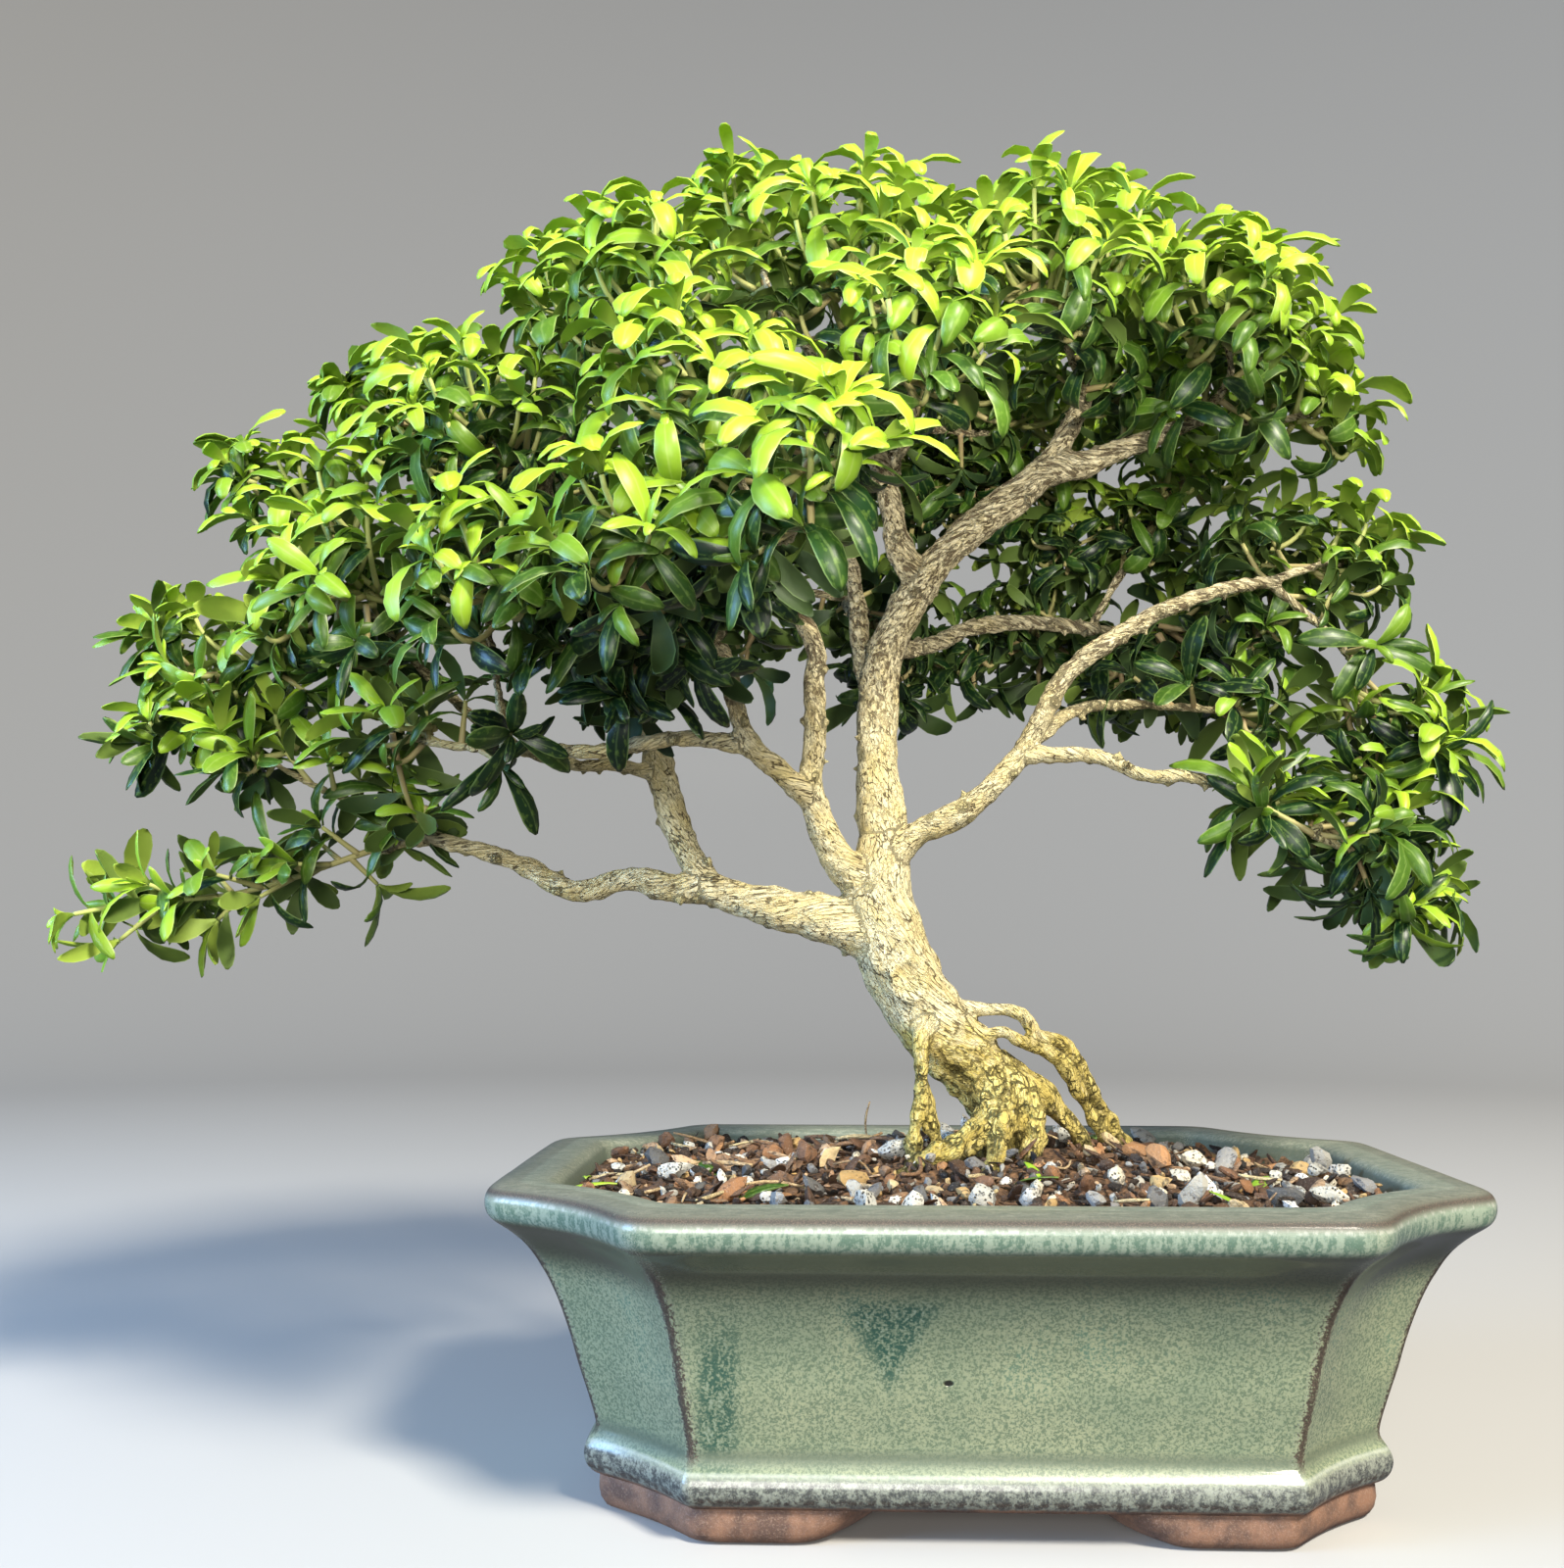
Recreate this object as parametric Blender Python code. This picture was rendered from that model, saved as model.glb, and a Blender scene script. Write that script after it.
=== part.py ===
# Kingsville boxwood bonsai in a glazed pot with cut, hollowed corners.
#
# The pot, its drain screens, the soil, the wood (trunk, roots and branches
# grown in one piece) and every leafy spray are separate closed solids.
# Lengths are in millimetres here and become metres when an object is made.
# +Z is up, z = 0 is the plane that the feet stand on, and the front is -Y.

import math
import random

import bpy
import bmesh
from mathutils import Matrix, Vector
from mathutils.bvhtree import BVHTree

MM = 0.001
GAP = 0.3              # clearance between pieces that touch
SLIVER = 0.001         # edges shorter than this are closed up
SHORT = 0.3            # and up to this in the wood and the sprays

# Where the pot's middle stands: the crown leans to the left and to the front,
# so this puts the whole tree's box over the origin.
POT_PLACE = (38.6, 14.0)

# Pot: half sizes and corner cuts at the rim and at the base
RIM_HALF = (102.5, 74.2)
BASE_HALF = (78.1, 48.0)
RIM_CUT = (33.2, 33.0)
BASE_CUT = (20.4, 18.9)
RIM_DIP = 5.0          # how far the rim's cut corner is hollowed
BASE_DIP = 1.2
BASE_INSET = RIM_HALF[0] - BASE_HALF[0]
FOOT_HEIGHT = 7.0
FLOOR_TOP = 14.5

# Outer wall from the underside to the rim: height, inset from the rim's edge
OUTER_WALL = [
    (7.0, 23.2), (8.2, 21.4), (10.4, 20.2), (12.8, 20.3), (14.8, 21.2), (16.6, 22.3),
    (21.0, 21.4), (30.0, 18.9), (40.0, 16.1), (47.0, 13.2), (52.5, 9.9), (56.5, 5.9),
    (58.8, 2.4), (60.4, 0.7), (62.8, 0.0), (65.2, 0.4), (66.6, 1.8),
]
# Inner wall from the rim's lip down to the floor
INNER_WALL = [(66.6, 13.4), (65.8, 14.5), (55.0, 17.0), (40.0, 23.2), (22.0, 28.2), (14.5, 30.0)]

DRAIN_RADIUS = 8.0
DRAIN_X = 38.0
SCREEN_SIDE = 25.0
SCREEN_BAR = 3.0
SCREEN_THICK = 1.0

# Foot: a bent strip under each cut corner
FOOT_WIDTH = 11.0
FOOT_ALONG_FRONT = 31.0
FOOT_ALONG_SIDE = 22.0
FOOT_CURVE = 14.0      # length over which a foot's end rises to the underside
# Share of the curve from the foot's end, share of the foot's height
FOOT_RISE = [(0.0, 1.06), (0.12, 0.62), (0.45, 0.16), (1.0, 0.0)]
FOOT_INSET = 0.4       # from the underside's edge
FOOT_SUNK = 1.4        # how far a foot runs up into the pot

# Soil: a low mound round the trunk, sunk at the back right corner
SOIL_EDGE = 63.6
MOUND_HEIGHT = 6.0
MOUND_AT = (8.0, 6.0)
MOUND_REACH = (55.0, 34.0)
SINK_DEPTH = 3.6
SINK_AT = (86.0, 36.0)
SINK_REACH = 34.0
SOIL_GRAIN = 0.9
SOIL_CLEAR = GAP + 0.1
SOIL_RINGS = (0.965, 0.87, 0.75, 0.62, 0.49, 0.36, 0.23, 0.1)

# Wood: each limb is a route of x, y, z and radius, with its number of sides.
# Places are from the pot's middle.
LIMBS = {
    "trunk": (9, [(12, 3.5, 57, 9.6), (11, 3, 69, 10.6), (9, 3, 77, 10.2), (3, 2, 85, 9.6),
                   (-4, 2, 93.5, 9.0), (-10.5, 1, 101.5, 8.5), (-15.5, 0, 110.5, 8.2),
                   (-18.5, 0, 119, 8.5), (-20.5, 0, 127, 8.3), (-19, 1, 137, 6.4),
                   (-19, 2, 144, 5.2)]),
    "main_stem": (7, [(-19, 1, 139, 5.6), (-20, 3, 156, 4.8), (-20, 5, 171, 4.7), (-18, 6, 184, 4.4),
                      (-13, 6, 195.5, 4.3), (-9, 6, 203, 4.2)]),
    "right_arm": (6, [(-11, 6, 199, 4.1), (-2.5, 4, 209.5, 4.0), (4.5, 2, 215.5, 3.8),
                      (13, 0, 221.5, 3.7), (20, -3, 226.5, 3.5), (28.5, -6, 227, 2.8),
                      (38.5, -9, 230, 2.4), (49, -11, 233.5, 2.0), (55.5, -12, 237, 1.6)]),
    "right_arm_up": (5, [(19, -2, 226, 2.8), (25, -6, 235.5, 2.5), (29, -10, 243, 1.8)]),
    "left_arm": (6, [(-10, 6, 202, 3.4), (-14.5, 3, 209.5, 3.2), (-16.5, -1, 218, 2.9),
                     (-19, -6, 225, 2.7), (-21, -12, 228.5, 2.4), (-24, -20, 231, 2.0),
                     (-27, -28, 236, 1.5)]),
    "left_arm_up": (5, [(-18, -4, 222, 2.2), (-15, 4, 233.5, 2.0), (-10, 11, 243, 1.5)]),
    "left_stem_reach": (5, [(-54, -46, 179, 1.5), (-48, -66, 187, 1.3), (-41, -84, 190.5, 1.2)]),
    "back_stem": (6, [(-19.5, 4, 170, 2.6), (-21.5, 8, 177, 2.6), (-23.5, 12, 186, 2.4),
                      (-25, 18, 202, 2.2), (-27, 26, 215, 2.0), (-31, 32, 228, 1.5)]),
    "back_stem_low": (5, [(-24.5, 15, 195, 1.9), (-26, 32, 202, 1.7), (-25, 48, 207, 1.4)]),
    "left_stem": (6, [(-20, 0, 126, 5.0), (-26.5, -3, 132, 4.3), (-30, -5, 136, 3.8),
                      (-32.5, -7, 141, 3.4), (-35.5, -10, 151, 3.2), (-34.5, -12, 163, 2.6),
                      (-35, -14, 174.5, 2.4), (-34.5, -15, 181, 2.3), (-37.5, -18, 188.5, 2.1),
                      (-41, -24, 195, 1.9), (-42, -36, 206, 1.6), (-40, -50, 214, 1.3)]),
    "left_stem_arm": (6, [(-35.5, -9, 148, 2.9), (-42.5, -17, 154, 2.6), (-48.5, -24, 159, 2.4),
                          (-51, -30, 166, 2.1), (-53, -38, 174, 1.9), (-55, -50, 181, 1.5)]),
    "left_stem_low": (5, [(-48, -23, 158.5, 2.0), (-61, -28, 160, 1.8), (-71.5, -31, 158.5, 1.7),
                          (-82.5, -33, 156.5, 1.6), (-96, -34, 157.5, 1.5), (-108, -34, 157, 1.3)]),
    "low_limb": (7, [(-17, 0, 115, 6.4), (-30.5, -2, 121, 5.4), (-43, -4, 123.5, 4.7),
                     (-54, -5, 126.5, 4.0), (-59.5, -6, 128.5, 3.6)]),
    "low_limb_up": (6, [(-58, -5.5, 127.5, 3.4), (-63, -4, 134.5, 3.3), (-67.5, -1, 144, 3.2),
                        (-70, 1, 152, 3.2), (-72, 3, 158.5, 3.4), (-73.5, 5, 163.5, 2.9),
                        (-77, 8, 170, 2.6), (-84, 9, 183, 2.3), (-92, 5, 200, 2.0),
                        (-97, 0, 214, 1.6), (-98, -6, 226, 1.3)]),
    "low_limb_twig": (5, [(-71, 2, 155, 1.8), (-81, -4, 157, 1.6), (-90, -8, 156.5, 1.4),
                          (-104, -9, 161, 1.3), (-118, -12, 172, 1.2), (-128, -16, 182, 1.1)]),
    "low_limb_left": (6, [(-58, -5.5, 128, 3.3), (-68.5, -7, 128.5, 3.1), (-76.5, -8, 130.5, 2.8),
                          (-89, -9, 127.5, 2.6), (-100.5, -10, 133, 2.2), (-109.5, -11, 136.5, 2.0),
                          (-121, -12, 139.5, 1.7), (-133, -13, 146, 1.3)]),
    "low_left_twig": (5, [(-119, -11.5, 139, 1.4), (-128, -12, 138.5, 1.3), (-134, -12, 137, 1.2)]),
    "right_limb": (6, [(-19, 0, 134, 4.2), (-12, -2, 140.5, 3.2), (-1.5, -4, 145.5, 2.9),
                       (5.5, -5, 151, 2.7), (14, -5, 160, 2.5)]),
    "right_limb_up": (6, [(13, -5, 159, 2.4), (17, -6, 167, 2.3), (23, -8, 177, 2.2),
                          (32, -10, 184, 2.0), (43, -10, 190.5, 1.9), (54, -8, 195, 1.7),
                          (64, -5, 198, 1.5), (72, -2, 199.5, 1.3)]),
    "right_limb_mid": (5, [(13, -5, 159.5, 1.8), (17.5, -4, 163.5, 1.7), (24, 0, 169, 1.5),
                           (33, 4, 171.5, 1.4), (46, 5, 172, 1.3)]),
    "right_limb_low": (5, [(12.5, -5, 158.5, 2.0), (24, -10, 158, 1.8), (31.5, -13, 156.5, 1.6),
                           (38.5, -15, 153, 1.5), (47, -16, 152.5, 1.4), (55, -16, 150.5, 1.3),
                           (64, -20, 145, 1.3), (74, -25, 138, 1.2)]),
    "back_right_limb": (6, [(-17, 6, 185, 2.6), (-12, 14, 187, 2.2), (-4, 23, 190.5, 2.2),
                            (3, 30, 195, 2.2), (15, 36, 198, 2.1), (26.5, 40, 198.5, 1.9),
                            (38, 42, 197, 1.6)]),
}
# Roots that stand clear of the trunk and go down into the soil
ROOTS = {
    "right_root": (6, [(-6, 1, 99, 2.2), (-0.5, 1, 101, 1.8), (5, 0, 102, 1.6), (10.5, 1, 101.5, 1.6),
                       (15, 3, 98, 1.7), (19, 5, 95.5, 1.7), (23, 7, 92.5, 1.8), (26, 9, 88, 1.7),
                       (30, 12, 81.5, 1.7), (34, 15, 75.5, 1.8), (37, 17, 69, 1.9), (39, 18, 61, 1.8)]),
    "right_root_under": (5, [(-1, -1, 93, 2.0), (2.5, -4, 96.5, 1.6), (8, -4, 97, 1.4),
                             (13.5, -2, 94, 1.4), (18, 1, 89.5, 1.4), (22, 5, 84.5, 1.4),
                             (28, 10, 77, 1.5), (35, 15.5, 71.5, 1.5)]),
    "left_root": (6, [(-6, -1, 98, 2.4), (-11.5, -6, 94, 1.9), (-11, -8.5, 89, 1.9), (-11.5, -8.5, 83, 1.9),
                      (-12.5, -8, 77, 1.7), (-13.5, -7, 70, 1.8), (-14, -6.5, 61, 1.8)]),
    "left_root_fork": (5, [(-11.5, -8, 85, 1.5), (-9, -6.5, 77.5, 1.3), (-7.5, -5, 70, 1.4),
                           (-7, -4.5, 62, 1.4)]),
    "front_root": (6, [(7, 1, 80, 6.0), (3.5, -4, 73, 5.4), (1, -7, 66, 4.6), (0, -8, 60, 4.0)]),
    "front_right_root": (6, [(12, 1, 78, 6.0), (16, -4.5, 72, 5.0), (18, -7.5, 65, 4.4), (19, -8, 60, 3.8)]),
    "side_root": (6, [(13, 4, 78, 6.0), (21, 6, 71.5, 4.4), (25, 7, 64, 3.6), (26, 7, 59, 3.2)]),
    "far_root": (6, [(8, 6, 80, 5.5), (5, 14, 71.5, 4.0), (3, 18, 64, 3.2), (2.5, 19, 59, 3.0)]),
}

# Sprays: middle of the leafy head and the radius that keeps the heads apart
SPRAYS = {
    "spray_top_1": (-90, -8, 264, 20), "spray_top_2": (-50, -6, 282, 20),
    "spray_top_3": (-8, -2, 278, 20), "spray_top_4": (36, 0, 278, 20),
    "spray_top_5": (72, 0, 262, 19), "spray_top_6": (-125, -8, 238, 19),
    "spray_front_1": (-70, -50, 250, 20), "spray_front_2": (-28, -50, 257, 20),
    "spray_front_3": (14, -46, 258, 20), "spray_front_4": (52, -38, 252, 18),
    "spray_front_5": (-106, -48, 222, 20), "spray_front_6": (-55, -86, 216, 19),
    "spray_front_7": (-14, -84, 228, 18), "spray_front_8": (-34, -115, 194, 14),
    "spray_front_9": (-98, -70, 186, 17), "spray_front_10": (-68, -96, 186, 15),
    "spray_front_11": (-80, -52, 180, 14),
    "spray_left_1": (-153, -6, 216, 18), "spray_left_2": (-137, -38, 192, 18),
    "spray_left_3": (-170, -14, 177, 16), "spray_left_4": (-156, -20, 150, 14),
    "spray_left_5": (-126, -32, 160, 13),
    "spray_right_1": (90, 0, 240, 14), "spray_right_2": (100, 6, 204, 15),
    "spray_right_3": (76, 14, 212, 13), "spray_right_4": (98, 4, 168, 15),
    "spray_right_5": (82, -6, 142, 12), "spray_right_6": (96, -12, 129, 9),
    "spray_right_7": (66, 2, 168, 11),
    "spray_back_1": (66, 50, 198, 18), "spray_back_2": (28, 74, 204, 19),
    "spray_back_3": (-16, 82, 208, 19), "spray_back_4": (-60, 66, 206, 19),
    "spray_back_5": (-94, 34, 198, 17), "spray_back_6": (-128, 30, 220, 16),
    "spray_back_7": (64, 44, 242, 18), "spray_back_8": (26, 48, 258, 19),
    "spray_back_9": (-18, 50, 262, 20), "spray_back_10": (-62, 44, 252, 20),
    "spray_back_11": (-102, 38, 240, 17),
}
# The low left twig is open: its leaves sit in pairs along a bare stem
LOW_TWIG = [(-136, -12, 136.5, 1.2), (-146, -12, 133, 1.1), (-161, -12, 128, 1.0),
            (-177, -13, 125.5, 0.9), (-197, -14, 124.5, 0.7)]
LOW_TWIG_PAIRS = 8

TWIG_RADIUS = 1.2
TWIG_STANDOFF = 3.0    # a twig ends this far outside the core
TWIG_CLEAR = 1.5       # and passes the other heads this far off
TWIG_BEARER = 3.3      # limbs thinner than this may bear one
LEG_SHARES = (0.35, 0.85)   # where along a limb's leg a twig may leave
LEAF_LENGTH = 17.0     # with the part that is sunk into the core
LEAF_HALF_WIDTH = 3.4
BLADE_STATIONS = [(0.0, 0.0), (0.62, 1.0), (1.0, 0.36)]   # share of the length, of the half width
LEAF_THICK = 0.7
LEAF_SUNK = 2.6
LEAF_CURL = math.radians(58)
LEAF_ROOM = GAP / 2 + 0.05   # clearance kept round a blade
LEAF_TRIES = 9
LEAVES_PER_CORE_MM = 0.54
CORE_SHARE = 0.82      # the core's radius in the head's
CORE_ROUGHNESS = 0.14
CORE_FROM_WOOD = 1.5
CORE_LEAST = 0.35      # a core point never comes nearer its middle than this share
LEAST_SPOT = 8.0       # a core face smaller than this bears no leaf, twice its area in square mm
SEED = 11


# Placing and joining

def new_object(name, verts, faces):
    mesh = bpy.data.meshes.new(name)
    mesh.from_pydata([tuple(v) for v in verts], [], faces)
    mesh.update()
    obj = bpy.data.objects.new(name, mesh)
    bpy.context.scene.collection.objects.link(obj)
    return obj


def remove(obj):
    bpy.data.objects.remove(obj, do_unlink=True)


def applied(obj):
    """Put the evaluated mesh in the object and drop its modifiers."""
    graph = bpy.context.evaluated_depsgraph_get()
    mesh = bpy.data.meshes.new_from_object(obj.evaluated_get(graph))
    obj.modifiers.clear()
    obj.data = mesh
    return obj


def boolean(obj, others, operation, solver="EXACT"):
    """Join or cut obj with a whole collection of solids, then remove them."""
    group = bpy.data.collections.new("operands")
    bpy.context.scene.collection.children.link(group)
    for other in others:
        bpy.context.scene.collection.objects.unlink(other)
        group.objects.link(other)
    step = obj.modifiers.new("boolean", "BOOLEAN")
    step.operation = operation
    step.operand_type = "COLLECTION"
    step.collection = group
    step.solver = solver
    applied(obj)
    for other in list(group.objects):
        remove(other)
    bpy.data.collections.remove(group)
    return obj


def shells(mesh):
    """The mesh's separate shells, each a list of faces, widest first."""
    left = set(mesh.faces)
    found = []
    while left:
        ahead = [left.pop()]
        shell = [ahead[0]]
        while ahead:
            for edge in ahead.pop().edges:
                for face in edge.link_faces:
                    if face in left:
                        left.discard(face)
                        ahead.append(face)
                        shell.append(face)
        found.append(shell)

    def spread(shell):
        heights = [v.co for f in shell for v in f.verts]
        low = Vector([min(p[i] for p in heights) for i in range(3)])
        high = Vector([max(p[i] for p in heights) for i in range(3)])
        return (high - low).length

    return sorted(found, key=spread, reverse=True)


def open_edges(mesh):
    return [edge for edge in mesh.edges if len(edge.link_faces) != 2]


def clean(obj, short=0.0):
    """Keep the outermost shell alone, as triangles, with no slivers.

    Edges up to `short` long are closed up too, where the surface stays whole."""
    mesh = bmesh.new()
    mesh.from_mesh(obj.data)
    bmesh.ops.triangulate(mesh, faces=mesh.faces)
    bmesh.ops.remove_doubles(mesh, verts=mesh.verts, dist=SLIVER)
    bmesh.ops.dissolve_degenerate(mesh, edges=mesh.edges, dist=SLIVER)
    for shell in shells(mesh)[1:]:
        bmesh.ops.delete(mesh, geom=shell, context="FACES")
    loose = [v for v in mesh.verts if not v.link_faces]
    bmesh.ops.delete(mesh, geom=loose, context="VERTS")
    bmesh.ops.triangulate(mesh, faces=mesh.faces)
    if short:
        slim = mesh.copy()
        bmesh.ops.dissolve_degenerate(slim, edges=slim.edges, dist=short)
        bmesh.ops.triangulate(slim, faces=slim.faces)
        if not open_edges(slim) and len(shells(slim)) == 1:
            mesh, slim = slim, mesh
        slim.free()
    mesh.to_mesh(obj.data)
    mesh.free()
    return obj


def material(name, colour, roughness, coat=0.0):
    mat = bpy.data.materials.new(name)
    mat.use_nodes = True
    shader = mat.node_tree.nodes["Principled BSDF"]
    shader.inputs["Base Color"].default_value = (*colour, 1.0)
    shader.inputs["Roughness"].default_value = roughness
    shader.inputs["Metallic"].default_value = 0.0
    shader.inputs["Coat Weight"].default_value = coat
    return mat


def finish(obj, mat, smooth_angle=None):
    """Bring a finished solid from pot millimetres to world metres."""
    move = Matrix.Translation(Vector((POT_PLACE[0], POT_PLACE[1], 0.0)) * MM)
    obj.data.transform(move @ Matrix.Scale(MM, 4))
    obj.data.materials.clear()
    obj.data.materials.append(mat)
    if smooth_angle is not None:
        obj.data.shade_smooth()
        obj.data.set_sharp_from_angle(angle=math.radians(smooth_angle))
    return obj


# Shapes

def loft(rings):
    """Quads between equal rings, with a flat face closing each end."""
    count = len(rings[0])
    verts = [p for ring in rings for p in ring]
    faces = []
    for level in range(len(rings) - 1):
        low = level * count
        for i in range(count):
            j = (i + 1) % count
            faces.append((low + i, low + j, low + count + j, low + count + i))
    faces.append(tuple(range(count - 1, -1, -1)))
    last = (len(rings) - 1) * count
    faces.append(tuple(range(last, last + count)))
    return verts, faces


def tube(route, sides, grow=0.0):
    """A tapered tube along a route, its frame carried on without twisting."""
    points = [Vector(p[:3]) for p in route]
    side = Vector((0.31, -0.95, 0.07))
    rings = []
    for i, point in enumerate(points):
        ahead = points[min(i + 1, len(points) - 1)] - points[max(i - 1, 0)]
        ahead.normalize()
        side = (side - ahead * side.dot(ahead)).normalized()
        other = ahead.cross(side)
        radius = route[i][3] + grow
        rings.append([point + (side * math.cos(a) + other * math.sin(a)) * radius
                      for a in (2 * math.pi * k / sides for k in range(sides))])
    if grow:
        first = (points[0] - points[1]).normalized() * grow
        last = (points[-1] - points[-2]).normalized() * grow
        rings[0] = [p + first for p in rings[0]]
        rings[-1] = [p + last for p in rings[-1]]
    return loft(rings)


def blade(root, ahead, face, grow=0.0):
    """A leaf blade, widest past its middle, with a blunt tip, arched off its face.

    It has an edge at the root, a broad station and a tip. The direction turns
    by LEAF_CURL from root to tip."""
    across = ahead.cross(face).normalized()
    half = LEAF_THICK / 2 + grow
    up = [face * math.cos(LEAF_CURL * s) + ahead * math.sin(LEAF_CURL * s) for s, w in BLADE_STATIONS]
    verts = [root - face * half, root + face * half]
    place = root
    for k in (1, 2):
        share, width = BLADE_STATIONS[k]
        before = BLADE_STATIONS[k - 1][0]
        turn = LEAF_CURL * (share + before) / 2
        heading = ahead * math.cos(turn) - face * math.sin(turn)
        place = place + heading * (share - before) * (LEAF_LENGTH + 2 * grow)
        reach = across * (width * LEAF_HALF_WIDTH + grow)
        verts += [place - reach - up[k] * half, place + reach - up[k] * half,
                  place + reach + up[k] * half, place - reach + up[k] * half]
    faces = [(0, 2, 3), (1, 4, 5), (0, 3, 4, 1), (0, 1, 5, 2), (6, 7, 8, 9),
             (2, 6, 7, 3), (3, 7, 8, 4), (4, 8, 9, 5), (5, 9, 6, 2)]
    return verts, faces


def tree_of(shape):
    verts, faces = shape
    return BVHTree.FromPolygons([tuple(v) for v in verts], faces)


# Pot

def outline(inset):
    """The pot's outline, inset from the rim: straight sides and hollowed cuts.

    Each cut is a chord pushed inwards by a parabola."""
    share = inset / BASE_INSET
    half = [r + (b - r) * share for r, b in zip(RIM_HALF, BASE_HALF)]
    cut = [r + (b - r) * min(share, 1.1) for r, b in zip(RIM_CUT, BASE_CUT)]
    dip = RIM_DIP + (BASE_DIP - RIM_DIP) * min(share, 1.0)
    tip = Vector((half[0], half[1] - cut[1]))
    corner = Vector((half[0] - cut[0], half[1]))
    chord = corner - tip
    inwards = Vector((-chord.y, chord.x)).normalized()
    if inwards.dot(tip) > 0:
        inwards.negate()
    quarter = [tip + chord * t + inwards * dip * 4 * t * (1 - t) for t in (0.0, 0.3, 0.7, 1.0)]
    ring = []
    for sx, sy in ((1, 1), (-1, 1), (-1, -1), (1, -1)):
        part = [Vector((p.x * sx, p.y * sy)) for p in quarter]
        ring += part if sx * sy > 0 else part[::-1]
    return ring


def level(inset, z):
    return [Vector((p.x, p.y, z)) for p in outline(inset)]


def make_foot(sx, sy):
    """A strip under one cut corner, its ends curving up into the underside."""
    outer_in = OUTER_WALL[0][1] + FOOT_INSET
    top = FOOT_HEIGHT + FOOT_SUNK

    def track(inset):
        tip, upper, lower, corner = outline(inset)[:4]
        front = [corner + Vector((-d, 0)) for d in foot_steps(FOOT_ALONG_FRONT)]
        side = [tip + Vector((0, -d)) for d in foot_steps(FOOT_ALONG_SIDE)]
        return side[::-1] + [tip, upper, lower, corner] + front

    def foot_steps(reach):
        return [reach - FOOT_CURVE * share for share, rise in FOOT_RISE[::-1]]

    rise = [FOOT_HEIGHT * rise for share, rise in FOOT_RISE]
    heights = rise + [0.0] * 4 + rise[::-1]
    rings = []
    for out, inn, z in zip(track(outer_in), track(outer_in + FOOT_WIDTH), heights):
        rings.append([Vector((out.x * sx, out.y * sy, z)), Vector((inn.x * sx, inn.y * sy, z)),
                      Vector((inn.x * sx, inn.y * sy, top)), Vector((out.x * sx, out.y * sy, top))])
    verts, faces = loft(rings)
    if sx * sy < 0:
        faces = [tuple(reversed(f)) for f in faces]
    return new_object("foot", verts, faces)


def facing_out(obj, triangles=False):
    mesh = bmesh.new()
    mesh.from_mesh(obj.data)
    if triangles:
        bmesh.ops.triangulate(mesh, faces=mesh.faces)
    bmesh.ops.recalc_face_normals(mesh, faces=mesh.faces)
    mesh.to_mesh(obj.data)
    mesh.free()
    return obj


def make_pot():
    rings = [level(inset, z) for z, inset in OUTER_WALL + INNER_WALL]
    pot = facing_out(new_object("pot", *loft(rings)))
    feet = [facing_out(make_foot(sx, sy)) for sx in (-1, 1) for sy in (-1, 1)]
    boolean(pot, feet, "UNION")
    drains = []
    for x in (-DRAIN_X, DRAIN_X):
        route = [(x, 0, FOOT_HEIGHT - 4, DRAIN_RADIUS), (x, 0, FLOOR_TOP + 4, DRAIN_RADIUS)]
        drains.append(facing_out(new_object("drain", *tube(route, 12))))
    boolean(pot, drains, "DIFFERENCE")
    return clean(pot)


def make_screen(name, x):
    """A square plate of crossed bars over one drain hole."""
    edge, middle = SCREEN_SIDE / 2, SCREEN_BAR / 2
    bars = [-edge, SCREEN_BAR - edge, -middle, middle, edge - SCREEN_BAR, edge]
    low = FLOOR_TOP + GAP
    mesh = bmesh.new()
    grid = [[mesh.verts.new((x + a, b, low)) for b in bars] for a in bars]
    for i in range(5):
        for j in range(5):
            if i % 2 == 0 or j % 2 == 0:
                mesh.faces.new((grid[i][j], grid[i + 1][j], grid[i + 1][j + 1], grid[i][j + 1]))
    bmesh.ops.delete(mesh, geom=[v for v in mesh.verts if not v.link_faces], context="VERTS")
    lifted = bmesh.ops.extrude_face_region(mesh, geom=mesh.faces[:])
    moved = [g for g in lifted["geom"] if isinstance(g, bmesh.types.BMVert)]
    bmesh.ops.translate(mesh, verts=moved, vec=(0, 0, SCREEN_THICK))
    bmesh.ops.recalc_face_normals(mesh, faces=mesh.faces)
    bmesh.ops.dissolve_limit(mesh, angle_limit=0.02, verts=mesh.verts, edges=mesh.edges)
    data = bpy.data.meshes.new(name)
    mesh.to_mesh(data)
    mesh.free()
    obj = bpy.data.objects.new(name, data)
    bpy.context.scene.collection.objects.link(obj)
    return clean(obj)


# Soil

def wall_inset(z):
    """The inner wall's inset at a height."""
    for (high, a), (low, b) in zip(INNER_WALL, INNER_WALL[1:]):
        if low <= z <= high:
            return a + (b - a) * (high - z) / (high - low)
    return INNER_WALL[-1][1]


def soil_height(x, y):
    mound = math.exp(-((x - MOUND_AT[0]) / MOUND_REACH[0]) ** 2 - ((y - MOUND_AT[1]) / MOUND_REACH[1]) ** 2)
    sunk = SINK_DEPTH * math.exp(-((x - SINK_AT[0]) ** 2 + (y - SINK_AT[1]) ** 2) / SINK_REACH ** 2)
    grain = math.sin(x * 0.93 + 1.3 * math.sin(y * 0.71)) * math.sin(y * 1.07 + 1.1 * math.cos(x * 0.59))
    return SOIL_EDGE + MOUND_HEIGHT * mound - sunk + SOIL_GRAIN * grain


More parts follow.
